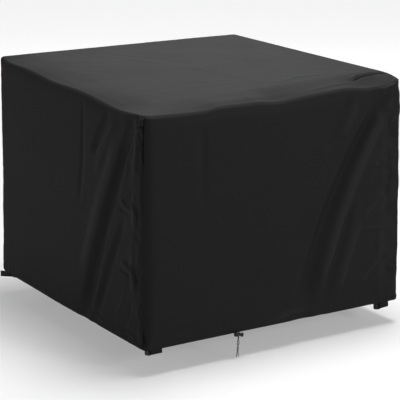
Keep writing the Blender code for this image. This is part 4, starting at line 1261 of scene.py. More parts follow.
@dataclass
class SidePanel:
    """One side of the cover, from corner seam to corner seam, with its hem turned up inside."""

    name: str
    columns: int
    rows: int
    dense_from: float
    dense_share: float
    noise_seed: float
    last_gap: float = 1.2  # what is left for the right-hand seam's columns, as a share of the left-hand ones'
    hem_rows: int = 9
    turn_rows: int = 7
    back_rows: int = 6
    hollows: tuple[Bumps, ...] = (Bumps(0.0011, 0.21), Bumps(0.00035, 0.055, 7))
    pull: Bumps = Bumps(0.0010, 0.021, 3)
    pull_reach: float = 0.034  # how far from a seam its thread pulls the cloth uneven
    gather: Bumps = Bumps(0.0011, 0.019, 5, 0.25)
    gather_reach: float = 0.060
    more_at_corners: float = 1.6
    corner_reach: float = 0.140
    crumples: tuple[Bumps, ...] = (Bumps(0.0052, 0.052, 13, 0.8), Bumps(0.0020, 0.024, 17))
    crumple_reach: float = 0.230
    crumple_start: float = 0.050  # how far from the corner they are fully there
    crumple_foot: float = 0.120  # how far above the hem
    valley_bumps: Bumps = Bumps(0.35, 0.060, 11, 0.6)
    valley_top: float = 0.050
    valley_foot: Pair = (0.040, 0.030)  # how far above the hem a valley ends, and over what height
    cord_bulge: Pair = (0.0009, 0.0060)  # height and reach of the casing's bulge over its cord
    stitch_dip: Pair = (-0.0007, 0.0045)  # height and reach of the dip at the hem's stitches
    plain_edge: float = 0.010  # distance from a seam over which the unevenness starts
    rubbing: Pair = (0.0045, 0.5)

    def runs(self) -> Array:
        """The distances of the grid's columns from the nearer seam, the right-hand ones below zero."""
        left = np.array(EDGE_STEPS)
        near = left[-1]
        dense = int(self.columns * self.dense_share)
        far = FACE - near * self.last_gap
        first = np.linspace(near, self.dense_from, self.columns - dense + 1)[1:]
        second = np.linspace(self.dense_from, far, dense + 1)[1:-1]
        middle = np.concatenate([first, second])
        if self.name in ("right", "back"):
            middle = (near + far) - middle[::-1]
        return np.concatenate([left, middle, -left[::-1]])

    def drops(self) -> tuple[Array, Array]:
        """The drops of the grid's rows and how far each stands inside the outer face, down and round the hem."""
        top = SEAM_DROP + np.array(EDGE_STEPS)
        fold = CASING_THICK / 2
        body = np.linspace(top[-1], HEM_STITCH_DROP, self.rows)[1:]
        hem = np.linspace(HEM_STITCH_DROP, DROP - fold, self.hem_rows)[1:]
        angle = np.linspace(0, np.pi, self.turn_rows)[1:-1]
        back = np.linspace(DROP - fold, DROP - CASING, self.back_rows)
        drops = np.concatenate([top, body, hem, DROP - fold + fold * np.sin(angle), back])
        flat = np.zeros(len(top) + len(body) + len(hem))
        return drops, np.concatenate([flat, fold * (1 - np.cos(angle)), np.full(len(back), 2 * fold)])

    def unevenness(self, points: Array, along: Array, drop: Array, from_seam: Array) -> Array:
        """How far the cloth stands out: soft hollows, pulls at the seams, gathers at the hem and crumples."""
        seed, to_end = self.noise_seed, np.maximum(FACE - along, 0)
        relief = sum(bumps.over(points, seed) for bumps in self.hollows)
        relief += swell(from_seam, self.pull_reach) * self.pull.over(points, seed)
        gather = swell(drop - DROP + CASING / 2, self.gather_reach) * self.gather.over(points, seed)
        to_corner = np.minimum(to_end, np.maximum(along, 0))
        relief += gather * (1 + self.more_at_corners * swell(to_corner, self.corner_reach))
        crumple = sum(bumps.over(points, seed) for bumps in self.crumples) * CRUMPLES[self.name]
        crumple *= ease(to_end / self.crumple_start) * ease((DROP - drop) / self.crumple_foot)
        return relief + swell(to_end, self.crumple_reach) * crumple

    def valley(self, points: Array, run: Array, drop: Array, from_top: Array) -> Array:
        """How deep the valley beside a corner seam is."""
        side = SIDES[self.name]
        (deep_b, reach_b), (deep_e, reach_e) = SEAM_VALLEYS[side.begins][1], SEAM_VALLEYS[side.ends][0]
        uneven = 1 + self.valley_bumps.over(points, self.noise_seed)
        deep, reach = np.where(run < 0, deep_e, deep_b) * uneven, np.where(run < 0, reach_e, reach_b) * uneven
        above, over = self.valley_foot
        there = ease(from_top / self.valley_top) * (1 - ease((drop - DROP + above) / over))
        return deep * (1 - ease(np.abs(run) / reach)) * there

    def build(self) -> ClothGrid:
        """Makes the panel and returns its grid."""
        drops, inside = self.drops()
        run, drop = np.meshgrid(self.runs(), drops)
        inside = inside[:, None]
        outer = inside == 0
        points, facing, along = Drape.side_surface(self.name, run, drop)
        normal = facing * [1, 1, 0]
        normal /= np.maximum(np.linalg.norm(normal, axis=-1, keepdims=True), 1e-9)
        from_seam, from_top = np.abs(run), np.abs(drop - SEAM_DROP)
        edge = ease(from_seam / self.plain_edge) * ease(from_top / self.plain_edge)
        relief = self.unevenness(points, along, drop, from_seam) * edge
        for (height, reach), middle in ((self.cord_bulge, CORD_DROP), (self.stitch_dip, HEM_STITCH_DROP)):
            relief += height * swell(drop - middle, reach) * outer
        relief -= self.valley(points, run, drop, from_top)
        depth = inside + np.maximum(lip_depth(from_seam), lip_depth(from_top) * outer)
        points = points + normal * relief[..., None] - facing * depth[..., None]
        coords = np.stack([along, drop + inside], axis=-1)
        points, coords = add_allowance(points, facing, coords, (FIRST_COLUMN, LAST_COLUMN, FIRST_ROW))
        node = "side_panel_" + self.name
        cloth = sew("side_cloth_" + self.name, node, points, coords, CREASES[self.name], self.rubbing)
        extra = len(ALLOWANCE)
        stitched = extra + STITCH_INDEX
        hem_row = extra + len(EDGE_STEPS) + self.rows - 2
        return ClothGrid(points, extra, hem_row, stitched, points.shape[1] - 1 - stitched)


@dataclass
class TopPanel:
    """The top of the cover, turned down over its edges to the seam."""

    cells: int = 190
    crowding: float = 0.40  # how much closer together the grid's lines are at the front and right edges
    hollows: tuple[Bumps, ...] = (Bumps(0.0016, 0.26, 11), Bumps(0.0004, 0.06, 17))
    pull: Bumps = Bumps(0.0009, 0.020, 23)
    pull_reach: float = 0.030
    plain_edge: float = 0.012
    ends: float = 0.030  # what is left of the width for the columns beside the two seams
    rubbing: Pair = (0.004, 0.4)

    def runs(self, crowding: float) -> Array:
        """Distances of the grid's lines from a seam, closer together at one end."""
        near, share = np.array(EDGE_STEPS), np.linspace(0, 1, self.cells)[1:-1]
        share = share * (1 - crowding) + crowding * share**2
        return np.concatenate([near, near[-1] + (FACE - self.ends - near[-1]) * share, -near[::-1]])

    @staticmethod
    def line(name: str, runs: Array) -> Array:
        """The top seam of a side, as level points from its left-hand corner seam to its right-hand one."""
        place, out, _, relief = Drape.outline(name, runs, np.full(runs.shape, SEAM_DROP))
        return place + out * relief[..., None]

    def level(self) -> Array:
        """The level places of the grid, filled in between the four top seams."""
        right_runs, back_runs = self.runs(-self.crowding), self.runs(self.crowding)
        front, back = self.line("front", right_runs), self.line("back", -right_runs)
        left, right = self.line("left", -back_runs), self.line("right", back_runs)
        across = ((front[:, 0] - front[0, 0]) / (front[-1, 0] - front[0, 0]))[None, :, None]
        up = ((left[:, 1] - left[0, 1]) / (left[-1, 1] - left[0, 1]))[:, None, None]
        flat = front[None] * (1 - up) + back[None] * up + left[:, None] * (1 - across) + right[:, None] * across
        flat -= (front[0] * (1 - across) + front[-1] * across) * (1 - up)
        return flat - (back[0] * (1 - across) + back[-1] * across) * up

    @staticmethod
    def slumped(flat: Array, height: Array) -> tuple[Array, Array]:
        """Lets the level places and their heights slump along the top edges."""
        for name in SHOULDERS:
            side = SIDES[name]
            out = np.array(side.out, float)
            along = (flat - np.array(side.start) * HALF) @ np.array(side.along, float)
            slump = Drape.slump(name, along, np.maximum(HALF - flat @ out, 0.0))
            flat, height = flat - slump[..., None] * out, height - slump
        return flat, height

    def build(self) -> ClothGrid:
        """Makes the panel and returns its grid."""
        flat = self.level()
        inset = Drape.edge_inset(flat)
        drop = Drape.roll_inset(inset)  # the turn is a quarter circle, so it is its own mirror
        rim = np.zeros(drop.shape, bool)
        rim[[0, -1]] = rim[:, [0, -1]] = True
        drop = np.where(rim, SEAM_DROP, drop)
        flat, height = self.slumped(flat, Drape.top_height(flat) * (1 - drop / DROP) - drop)
        points = np.concatenate([flat, height[..., None]], axis=-1)
        from_seam = np.maximum(inset - Drape.roll_inset(np.array(SEAM_DROP)), 0)
        relief = sum(bumps.over(points) for bumps in self.hollows)
        relief += swell(from_seam, self.pull_reach) * self.pull.over(points)
        relief += crease_relief(TOP_CREASES, flat[..., 0], flat[..., 1])
        points[..., 2] += relief * ease(from_seam / self.plain_edge)
        facing = surface_normals(points[::-1])[::-1]
        facing = np.where(facing[..., 2:] < 0, -facing, facing)
        points = points - facing * lip_depth(from_seam)[..., None]
        points, coords = add_allowance(points, facing, flat, (FIRST_ROW, LAST_ROW, FIRST_COLUMN, LAST_COLUMN))
        points, coords = points[::-1], coords[::-1]
        cloth = sew("top_cloth", "top_panel", points, coords, TOP_CREASES, self.rubbing)
        extra = len(ALLOWANCE) + STITCH_INDEX
        return ClothGrid(points, extra, points.shape[0] - 1 - extra, extra, points.shape[1] - 1 - extra)


# ---------------------------------------------------------------- stitching
@dataclass
class Stitching:
    """Rows of lockstitch: one stitch, modelled once, is set again and again along a line."""

    pitch: float = 0.0036
    length: float = 0.0028
    thread: float = 0.00050
    sides: int = 6
    cuts: tuple[float, ...] = (-0.36, -0.15, 0.15, 0.36)  # where it is cut, as shares of its length
    slimming: float = 0.35
    rise: float = 0.22  # how high its middle stands and how far its ends dip, as shares of the thread
    dip: float = 0.95
    look_ahead: float = 0.0009  # distance over which the line's heading is taken

    def template(self) -> tuple[Array, Array]:
        """Models one stitch along X, with its ends dipping into the cloth.

        Returns:
            Its points and its faces.
        """
        deselect()
        bpy.ops.mesh.primitive_cylinder_add(
            vertices=self.sides, radius=self.thread / 2, depth=self.length, end_fill_type="TRIFAN"
        )
        stitch = bpy.context.object
        bpy.ops.object.mode_set(mode="EDIT")
        for cut in self.cuts:
            bpy.ops.mesh.select_all(action="SELECT")
            bpy.ops.mesh.bisect(plane_co=(0, 0, cut * self.length), plane_no=(0, 0, 1))
        bpy.ops.mesh.select_all(action="SELECT")
        bpy.ops.mesh.quads_convert_to_tris()
        bpy.ops.object.mode_set(mode="OBJECT")
        points = np.array([tuple(vertex.co) for vertex in stitch.data.vertices])
        faces = np.array([tuple(face.vertices) for face in stitch.data.polygons])
        bpy.data.objects.remove(stitch)
        share = np.abs(points[:, 2]) / (self.length / 2)
        stitch_points = points[:, [2, 0, 1]]
        stitch_points[:, 1:] *= (1 - self.slimming * share**3)[:, None]
        stitch_points[:, 2] += self.thread * (self.rise - self.dip * share**2)
        return stitch_points, faces

    def along(self, name: str, line: Array, normals: Array, slot: str = "coated_cloth") -> bpy.types.Object:
        """Sets stitches along a line on a surface.

        Args:
            name: the piece's name.
            line: the points of the line.
            normals: the way out of the surface at each.
            slot: not used.

        Returns:
            All the stitches as one piece.
        """
        shape, faces = self.template()
        run = distances(line)
        at = np.arange(self.pitch, run[-1] - self.pitch / 2, self.pitch)
        spots, up = points_at(at, run, line), points_at(at, run, normals)
        way = points_at(at + self.look_ahead, run, line) - spots
        way /= np.linalg.norm(way, axis=1, keepdims=True)
        up -= way * (up * way).sum(axis=1, keepdims=True)
        up /= np.linalg.norm(up, axis=1, keepdims=True)
        aside = np.cross(up, way)
        turn = np.stack([way, aside, up], axis=1)
        points = spots[:, None] + np.einsum("pk,nkj->npj", shape, turn)
        steps = np.arange(len(spots))[:, None, None] * len(shape)
        made = object_from(name, points.reshape(-1, 3), (faces[None] + steps).reshape(-1, 3).tolist())
        return dress(made, Finish.THREAD)


# ---------------------------------------------------------------- straps
class StrapRow(NamedTuple):
    """A strap loop: its side, middle, half sizes, lap on the hem, how much lower two of its sides hang, its buckle."""

    side: str
    along: float
    half_along: float
    half_inward: float
    lap: float
    sink_inner: float
    sink_end: float
    buckle: str


STRAPS = {
    "left": StrapRow("left", 0.018, 0.042, 0.026, 0.008, 0.012, 0.022, "inner"),
    "front": StrapRow("front", 0.053, 0.0260, 0.0260, 0.006, 0.012, 0.0, "low"),
    "right": StrapRow("front", 1.129, 0.0230, 0.0230, 0.001, 0.012, 0.004, "low"),
    "back": StrapRow("back", 0.053, 0.0260, 0.0260, 0.006, 0.012, 0.0, "low"),
}
BUCKLE_SPAN = SOCKET_LENGTH + PLUG_LENGTH + GAP


@dataclass
class LegStrap:
    """A loop of webbing at one corner, with its side release buckle."""

    corner: str
    step: float = 0.0012  # between the webbing's cross-sections
    ripple: float = 0.04  # share by which its thickness changes from pick to pick
    ripple_turn: float = 2.4
    rib_depth: float = 0.00011
    rib_pitch: float = 0.00235
    tack_reach: float = 0.012  # half the length of the rows that sew it to the hem
    tack_swing: float = 0.0022
    tack_below: float = 0.0045  # how far below its upper edge they run
    tack_points: int = 24

    @property
    def row(self) -> StrapRow:
        """The strap's row of the table."""
        return STRAPS[self.corner]

    def loop_point(self, distance: float) -> tuple[Vector, Vector]:
        """A point of the loop and its heading, in along and inward, at a distance round it."""
        row = self.row
        side_a, side_b, bend = row.half_along - LOOP_CORNER, row.half_inward - LOOP_CORNER, LOOP_CORNER * math.pi / 2
        place, heading = Vector((row.half_along, 0.0)), Vector((0.0, 1.0))
        for index, stretch in enumerate((side_b, bend, 2 * side_a, bend, 2 * side_b, bend, 2 * side_a, bend, side_b)):
            part = min(distance, stretch)
            if index % 2:
                aside, angle = Vector((-heading.y, heading.x)), part / LOOP_CORNER
                place = place + (heading * math.sin(angle) + aside * (1 - math.cos(angle))) * LOOP_CORNER
                heading = heading * math.cos(angle) + aside * math.sin(angle)
            else:
                place = place + heading * part
            distance -= part
            if distance <= 0:
                break
        return place, heading

    @property
    def quarter(self) -> float:
        """A quarter of the length round the loop."""
        return self.row.half_along + self.row.half_inward - 2 * LOOP_CORNER + LOOP_CORNER * math.pi / 2

    @property
    def buckle_start(self) -> float:
        """The distance round the loop at which the middle of the buckle lies."""
        return {"inner": 1, "low": 2}[self.row.buckle] * self.quarter

    def frame_at(self, distance: float) -> tuple[Vector, Vector, Vector, Vector]:
        """The place on the loop's middle line, and the ways along it, out of its face and up its width."""
        row, side = self.row, SIDES[self.row.side]
        local, heading = self.loop_point(distance % (4 * self.quarter))
        at, out_pair = Drape.flat(row.side, np.array(row.along + local.x), np.array(DROP))
        out, way = Vector((*out_pair, 0)), Vector((*side.along, 0))
        to_middle = CASING_THICK + GAP + WEBBING_THICK / 2 + row.half_inward + local.y
        ends = np.array([row.along - row.half_along, row.along, row.along + row.half_along])
        to_middle -= float(Drape.folds(row.side, ends, np.full(3, DROP)).min())
        sunk = row.sink_inner * (local.y + row.half_inward) / (2 * row.half_inward)
        sunk += row.sink_end * (row.half_along - local.x) / (2 * row.half_along)
        height = float(Drape.hem_rise(row.side, at)) - DROP + row.lap - WEBBING_WIDTH / 2 - sunk
        place = Vector((*at, 0)) - out * to_middle + Vector((0, 0, height))
        slope = row.sink_end * heading.x / (2 * row.half_along) - row.sink_inner * heading.y / (2 * row.half_inward)
        along = (way * heading.x - out * heading.y + Vector((0, 0, slope))).normalized()
        face = along.cross(Vector((0, 0, 1))).normalized()
        return place, along, face, face.cross(along)

    def section(self) -> Array:
        """The webbing's cross-section: (across the width, out of the face) points, with ribs and full edges."""
        half_w, half_t = WEBBING_WIDTH / 2, WEBBING_THICK / 2
        across = np.linspace(-half_w + half_t, half_w - half_t, 41)
        ribs = half_t - self.rib_depth * (1 - np.cos(2 * np.pi * (across + half_w) / self.rib_pitch)) / 2
        turn = np.linspace(np.pi / 2, -np.pi / 2, 6)[1:-1]
        edge = np.stack([half_w - half_t + half_t * np.cos(turn), half_t * np.sin(turn)], axis=1)
        upper = np.stack([across, ribs], axis=1)
        return np.concatenate([upper, edge, -upper, -edge])

    def webbing(self) -> bpy.types.Object:
        """The webbing, round its loop from one buckle half to the other."""
        covered = BUCKLE_SPAN / 2 - WEBBING_POCKET
        start, length = self.buckle_start + covered, 4 * self.quarter - 2 * covered
        section, steps, grid = self.section(), round(length / self.step), []
        for step in range(steps + 1):
            place, _, face, width = self.frame_at(start + length * step / steps)
            ripple = 1 + self.ripple * math.sin(step * self.ripple_turn)
            offset = section[:, :1] * np.array(width) + section[:, 1:] * ripple * np.array(face)
            grid.append(np.array(place) + offset)
        per, count = len(section), len(section) * len(grid)
        run = np.linspace(0, length, steps + 1)[:, None]
        uvs = np.stack(np.broadcast_arrays(run, distances(section)[None]), axis=-1).reshape(-1, 2)
        faces = grid_faces(len(grid), per, ring=True)
        faces += [list(range(per)), list(range(count - 1, count - per - 1, -1))]
        strap = object_from("webbing_" + self.corner, np.concatenate(grid), faces, uvs)
        turn_outwards(strap)
        return dress(strap, Finish.WEBBING, ("strap_" + self.corner,), sharp=60)

    def build(self) -> None:
        """Makes the webbing, its buckle and the stitches that hold it to the hem."""
        self.webbing()
        place, along, face, width = self.frame_at(self.buckle_start)
        turn = Matrix((along, face, width)).transposed().to_4x4()
        Buckle(self.corner).build(Matrix.Translation(place) @ turn)
        self.tacks()

    def tacks(self) -> None:
        """A short zigzag row of stitches across the lap against the hem."""
        line, normals = [], []
        for step in range(self.tack_points + 1):
            reach = self.tack_reach * (2 * step / self.tack_points - 1)
            place, _, face, width = self.frame_at(3 * self.quarter + reach)
            swing = self.tack_swing * (1 if step % 2 else -1)
            inward = -face if face.dot(Vector((*SIDES[self.row.side].out, 0))) > 0 else face
            top = place + width * (WEBBING_WIDTH / 2 - self.tack_below + swing)
            line.append(np.array(top + inward * (WEBBING_THICK / 2)))
            normals.append(np.array(inward))
        sewing = Stitching(pitch=0.0030, length=0.0027)
        sewing.along("strap_tack_" + self.corner, np.array(line), np.array(normals), slot="webbing")


# ---------------------------------------------------------------- buckles
@dataclass
class Buckle:
    """A side release buckle, closed: a socket with side windows and a plug whose prongs show in them."""

    corner: str
    width: float = BUCKLE_WIDTH
    thick: float = BUCKLE_THICK
    window: Pair = (0.0035, 0.0103)  # from and to of the socket's windows, along it
    window_rim: float = 0.0007
    window_depth: float = 0.0030
    tail: float = 0.0042
    cheek: float = 0.0040  # width of the socket left beside its face's panel
    panel_rim: float = 0.0012
    panel_depth: float = 0.0006
    grooves: tuple[Pair, ...] = ((0.0030, 0.0042), (0.0058, 0.0070))  # beside the plug's grip rib
    groove_cheek: float = 0.0035
    groove_depth: float = 0.0007
    prong_size: tuple[float, float, float] = (0.0100, 0.0040, 0.0036)  # length, width, and how much thinner it is
    prong_barb: Pair = (0.0035, 0.0065)
    barb_height: float = 0.0010
    prong_start: float = 0.0018
    prong_rounding: float = 0.0005
    small_rim: float = 0.0002
    rounding: float = 0.0006
    facing: float = 0.9  # how squarely a face has to look a way to be taken as facing it

    @staticmethod
    def block(name: str, length: float, width: float, thick: float) -> bpy.types.Object:
        """A block along X from 0, for shaping in edit mode."""
        deselect()
        bpy.ops.mesh.primitive_cube_add(size=1.0)
        made = bpy.context.object
        made.name = made.data.name = name
        bpy.ops.object.mode_set(mode="EDIT")
        bpy.ops.mesh.select_all(action="SELECT")
        bpy.ops.transform.resize(value=(length, thick, width), center_override=(0, 0, 0))
        bpy.ops.transform.translate(value=(length / 2, 0, 0))
        bpy.ops.object.mode_set(mode="OBJECT")
        return made

    @staticmethod
    def cut(item: bpy.types.Object, places: Sequence[float], axis: int) -> None:
        """Cuts a mesh through at places along an axis."""
        only(item)
        bpy.ops.object.mode_set(mode="EDIT")
        normal = [0.0, 0.0, 0.0]
        normal[axis] = 1.0
        for place in places:
            middle = [0.0, 0.0, 0.0]
            middle[axis] = place
            bpy.ops.mesh.select_all(action="SELECT")
            bpy.ops.mesh.bisect(plane_co=middle, plane_no=normal)
        bpy.ops.object.mode_set(mode="OBJECT")

    @staticmethod
    def pick(item: bpy.types.Object, test: Callable[[bpy.types.MeshPolygon], bool]) -> int:
        """Selects the faces that pass a test, in edit mode, and says how many."""
        only(item)
        bpy.ops.object.mode_set(mode="EDIT")
        bpy.ops.mesh.select_mode(type="FACE")
        bpy.ops.mesh.select_all(action="DESELECT")
        bpy.ops.object.mode_set(mode="OBJECT")
        count = 0
        for face in item.data.polygons:
            face.select = bool(test(face))
            count += face.select
        bpy.ops.object.mode_set(mode="EDIT")
        return count

    def sink(
        self,
        item: bpy.types.Object,
        facing: tuple[float, float, float],
        span: Pair,
        rim: float,
        depth: float,
        half: float = math.inf,
    ) -> None:
        """Insets the faces of a part that look one way, and moves them in.

        Args:
            item: the part.
            facing: the way that they look.
            span: the places along X between which their middles lie.
            rim: the width of the inset.
            depth: how far they move in.
            half: how far from the middle of the width their middles lie at most.
        """
        way = Vector(facing)

        def chosen(face: bpy.types.MeshPolygon) -> bool:
            """Whether a face is one of them."""
            inside = span[0] < face.center.x < span[1] and abs(face.center.z) < half
            return inside and way.dot(face.normal) > self.facing

        if self.pick(item, chosen):
            bpy.ops.mesh.inset(thickness=rim, depth=0)
            bpy.ops.mesh.extrude_region_move(TRANSFORM_OT_translate={"value": way * -depth})
        bpy.ops.object.mode_set(mode="OBJECT")

    @staticmethod
    def round_off(item: bpy.types.Object, radius: float) -> None:
        """Rounds the sharp edges of a part."""
        apply(item, "BEVEL", width=radius, segments=3, limit_method="ANGLE", angle_limit=math.radians(40))

    def socket(self) -> bpy.types.Object:
        """The socket: a shell with a window in each side and a sunk panel in each face."""
        made = self.block("buckle_socket_shell_" + self.corner, SOCKET_LENGTH, self.width, self.thick)
        half = self.width / 2 - self.cheek
        self.cut(made, (*self.window, SOCKET_LENGTH - self.tail), axis=0)
        self.cut(made, (-half, half), axis=2)
        for sign in (-1, 1):
            self.sink(made, (0, 0, sign), self.window, self.window_rim, self.window_depth)
            self.sink(made, (0, sign, 0), self.window, self.panel_rim, self.panel_depth, half)
        self.round_off(made, self.rounding)
        return made

    def plug(self) -> bpy.types.Object:
        """The plug's head, with a grip rib across it between two grooves."""
        made = self.block("buckle_plug_shell_" + self.corner, PLUG_LENGTH, self.width, self.thick)
        half = self.width / 2 - self.groove_cheek
        self.cut(made, [place for groove in self.grooves for place in groove], axis=0)
        self.cut(made, (-half, half), axis=2)
        for sign in (-1, 1):
            for groove in self.grooves:
                self.sink(made, (0, sign, 0), groove, self.small_rim, self.groove_depth, half)
        self.round_off(made, self.rounding)
        return made

    def prong(self, sign: int) -> bpy.types.Object:
        """A prong of the plug, with a barb that stands out into the socket's window."""
        length, width, thinner = self.prong_size
        name = f"buckle_prong_{'up' if sign > 0 else 'low'}_{self.corner}"
        made = self.block(name, length, width, self.thick - thinner)
        self.cut(made, self.prong_barb, axis=0)
        self.sink(made, (0, 0, sign), self.prong_barb, self.small_rim, -self.barb_height)
        self.round_off(made, self.prong_rounding)
        made.data.transform(Matrix.Translation((self.prong_start, 0, sign * (self.width / 2 - self.cheek))))
        return made

    def build(self, turn: Matrix) -> None:
        """Makes both halves and sets them on the strap.

        Args:
            turn: the matrix from the buckle's own middle to its place on the loop.
        """
        joint = BUCKLE_SPAN / 2 - SOCKET_LENGTH
        socket, plug = self.socket(), self.plug()
        place_in_mesh(socket, turn @ Matrix.Translation((joint, 0, 0)))
        place_in_mesh(plug, turn @ Matrix.Translation((joint - GAP - PLUG_LENGTH, 0, 0)))
        dress(socket, Finish.BUCKLE, ("buckle_socket_" + self.corner,), sharp=50)
        dress(plug, Finish.BUCKLE, ("buckle_plug_" + self.corner,), sharp=50)
        for sign in (-1, 1):
            prong = self.prong(sign)
            place_in_mesh(prong, turn @ Matrix.Translation((joint, 0, 0)))
            dress(prong, Finish.BUCKLE, sharp=50)


# ---------------------------------------------------------------- cord lock
@dataclass
class CordLock:
    """A barrel cord lock: a body with a neck that the cords run through, and a push button."""

    body_rows: tuple[Pair, ...] = (
        (-0.0185, 0.0066),
        (-0.0182, 0.0076),
        (-0.0174, 0.0085),
        (-0.0160, 0.0088),
        (-0.0140, 0.0088),
        (-0.0136, 0.0084),
        (-0.0128, 0.0084),
        (-0.0124, 0.0088),
        (-0.0088, 0.0088),
        (-0.0074, 0.0078),
        (-0.0062, 0.0068),
        (-0.0050, 0.0060),
        (0.0000, 0.0059),
        (0.0052, 0.0060),
        (0.0060, 0.0056),
    )
    button_rows: tuple[Pair, ...] = (
        (0.0063, 0.0046),
        (0.0066, 0.0050),
        (0.0080, 0.0056),
        (0.0100, 0.0070),
        (0.0112, 0.0076),
        (0.0128, 0.0079),
        (0.0132, 0.0083),
        (0.0172, 0.0088),
        (0.0180, 0.0086),
        (0.0185, 0.0078),
    )
    grooves: int = 18
    groove_depth: float = 0.045  # as a share of the button's radius
    fluted: Pair = (0.0130, 0.0176)

    @staticmethod
    def turned(name: str, rows: Sequence[Pair]) -> bpy.types.Object:
        """A solid turned about X from its profile with the spin tool."""
        profile = [(rows[0][0], 0.0), *rows, (rows[-1][0], 0.0)]
        edges = [(index, index + 1) for index in range(len(profile) - 1)]
        made = object_from(name, [(x, radius, 0.0) for x, radius in profile], [], edges=edges)
        only(made)
        bpy.ops.object.mode_set(mode="EDIT")
        bpy.ops.mesh.select_all(action="SELECT")
        bpy.ops.mesh.spin(steps=72, angle=2 * math.pi, center=(0, 0, 0), axis=(1, 0, 0), use_normal_flip=False)
        bpy.ops.mesh.select_all(action="SELECT")
        bpy.ops.mesh.remove_doubles(threshold=TINY)
        bpy.ops.mesh.normals_make_consistent(inside=False)
        bpy.ops.object.mode_set(mode="OBJECT")
        return made

    def flute(self, item: bpy.types.Object) -> None:
        """Presses grip grooves into the button's barrel."""
        points = np.array([tuple(vertex.co) for vertex in item.data.vertices])
        angle = np.arctan2(points[:, 2], points[:, 1])
        inside = (points[:, 0] > self.fluted[0]) & (points[:, 0] < self.fluted[1])
        press = 1 - self.groove_depth * (0.5 - 0.5 * np.cos(angle * self.grooves)) * inside
        points[:, 1:] *= press[:, None]
        for vertex, point in zip(item.data.vertices, points):
            vertex.co = point

    @staticmethod
    def cord_hole(item: bpy.types.Object) -> None:
        """Cuts the slot that both cords run through."""
        deselect()
        bpy.ops.mesh.primitive_cylinder_add(vertices=24, radius=CORD / 2 + GAP, depth=4 * NECK_RADIUS)
        cutter = bpy.context.object
        for vertex in cutter.data.vertices:
            vertex.co.x += math.copysign(CORD_SPACING / 2, vertex.co.x) if abs(vertex.co.x) > TINY else 0.0
        apply(item, "BOOLEAN", object=cutter, operation="DIFFERENCE", solver="EXACT")
        bpy.data.objects.remove(cutter)

    def build(self) -> list[bpy.types.Object]:
        """Makes the lock's two parts, in their place.

        Returns:
            The body and the button.
        """
        turn = Matrix.Translation(lock_place()) @ Matrix.Rotation(LOCK_TILT, 4, "Y")
        body, button = self.turned("lock_barrel", self.body_rows), self.turned("lock_push_button", self.button_rows)
        self.flute(button)
        self.cord_hole(body)
        for item, node in ((body, "cord_lock_body"), (button, "cord_lock_button")):
            place_in_mesh(item, turn)
            dress(item, Finish.LOCK, (node,), sharp=40)
        return [body, button]


# ---------------------------------------------------------------- studio
class LightRow(NamedTuple):
    """A soft light: its place, what it looks at, its size, and its power."""

    name: str
    place: tuple[float, float, float]
    target: tuple[float, float, float]
    size: tuple[float, float]
    power: float


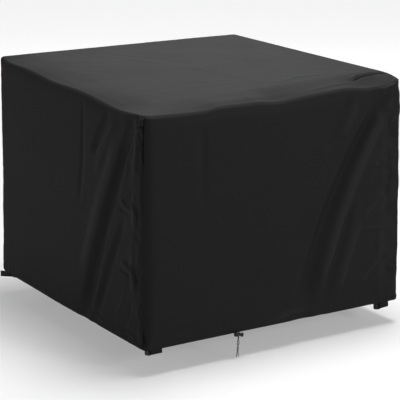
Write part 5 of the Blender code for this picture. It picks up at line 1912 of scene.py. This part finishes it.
@dataclass
class Studio:
    """The camera at the photo's angle, the pale floor and the soft lights."""

    azimuth: float = -32.5
    elevation: float = 15.47
    distance: float = 7.4707
    aside: float = 0.0233
    above: float = -0.5456
    lens: float = 162.0
    sensor: float = 36.0
    clip: Pair = (0.05, 200.0)
    floor_size: float = 80.0
    sky: float = 0.20
    lights: tuple[LightRow, ...] = (
        LightRow("overhead", (0.5, -0.3, 3.6), (0.2, -0.1, 0.0), (2.0, 2.0), 345.0),
        LightRow("behind", (2.9, 4.6, 1.9), (0.0, 0.0, 0.0), (3.0, 1.2), 42.0),
        LightRow("left_side", (-5.2, 2.9, 1.4), (-0.5, 0.0, -0.4), (1.0, 1.0), 44.0),
        LightRow("front_side", (1.9, -5.6, 1.4), (0.0, -0.5, -0.4), (1.0, 1.0), 124.0),
    )

    def camera(self) -> None:
        """Sets up the camera."""
        turn, tilt = math.radians(self.azimuth), math.radians(self.elevation)
        back = Vector((math.sin(turn) * math.cos(tilt), -math.cos(turn) * math.cos(tilt), math.sin(tilt)))
        right = Vector((0, 0, 1)).cross(back).normalized()
        up = back.cross(right)
        data = bpy.data.cameras.new("camera")
        data.lens, data.sensor_width, data.sensor_fit = self.lens, self.sensor, "HORIZONTAL"
        data.clip_start, data.clip_end = self.clip
        camera = bpy.data.objects.new("camera", data)
        bpy.context.collection.objects.link(camera)
        camera.matrix_world = Matrix.Translation(
            right * self.aside + up * self.above + back * self.distance
        ) @ Matrix((right, up, back)).transposed().to_4x4()
        bpy.context.scene.camera = camera

    def build(self) -> None:
        """Sets up the floor, the lights and the sky."""
        scene = bpy.context.scene
        scene.view_settings.view_transform = "Standard"
        world = scene.world = scene.world or bpy.data.worlds.new("studio")
        world.use_nodes = True
        for index, value in enumerate(((1.0, 1.0, 1.0, 1), self.sky)):
            world.node_tree.nodes["Background"].inputs[index].default_value = value
        for row in self.lights:
            data = bpy.data.lights.new(row.name, "AREA")
            data.shape, data.size, data.size_y, data.energy = "RECTANGLE", *row.size, row.power
            light = bpy.data.objects.new(row.name, data)
            bpy.context.collection.objects.link(light)
            light.location = row.place
            light.rotation_euler = (Vector(row.target) - Vector(row.place)).to_track_quat("-Z", "Y").to_euler()
        deselect()
        bpy.ops.mesh.primitive_plane_add(size=self.floor_size, location=(0, 0, FLOOR_Z))
        floor = bpy.context.object
        floor.name = "floor"
        place_in_mesh(floor, Matrix.Identity(4))
        floor.data.materials.append(Finish.FLOOR.material())


# ---------------------------------------------------------------- the whole cover
def main() -> None:
    """Builds the camera, the cords, the cloth and its fittings, in that order."""
    logging.basicConfig(level=logging.INFO, format="%(name)s: %(message)s")
    studio = Studio()
    studio.camera()
    lock = CordLock().build()
    cord = Drawcord()
    cord.build("drawcord_a", 1, "drawcord_tail_a", lock)
    cord.build("drawcord_b", -1, "drawcord_tail_b", ())
    panels = [
        SidePanel("left", columns=215, rows=150, dense_from=0.640, dense_share=0.62, noise_seed=1.3),
        SidePanel("front", columns=225, rows=150, dense_from=0.760, dense_share=0.62, noise_seed=5.1),
        SidePanel("right", columns=150, rows=110, dense_from=0.700, dense_share=0.60, noise_seed=9.7),
        SidePanel("back", columns=150, rows=110, dense_from=0.700, dense_share=0.60, noise_seed=14.9),
    ]
    stitching = Stitching()
    top = TopPanel().build()
    for name, row in (("front", top.hem_row), ("back", top.seam_row)):
        stitching.along("top_stitching_" + name, *top.row(row))
    for name, column in (("left", top.left_column), ("right", top.right_column)):
        stitching.along("top_stitching_" + name, *top.column(column))
    for panel in panels:
        grid = panel.build()
        stitching.along("hem_stitching_" + panel.name, *grid.row(grid.hem_row))
        stitching.along(f"seam_stitching_{panel.name}_a", *grid.column(grid.left_column))
        stitching.along(f"seam_stitching_{panel.name}_b", *grid.column(grid.right_column))
    for corner in STRAPS:
        LegStrap(corner).build()
    studio.build()


if __name__ == "__main__":
    main()
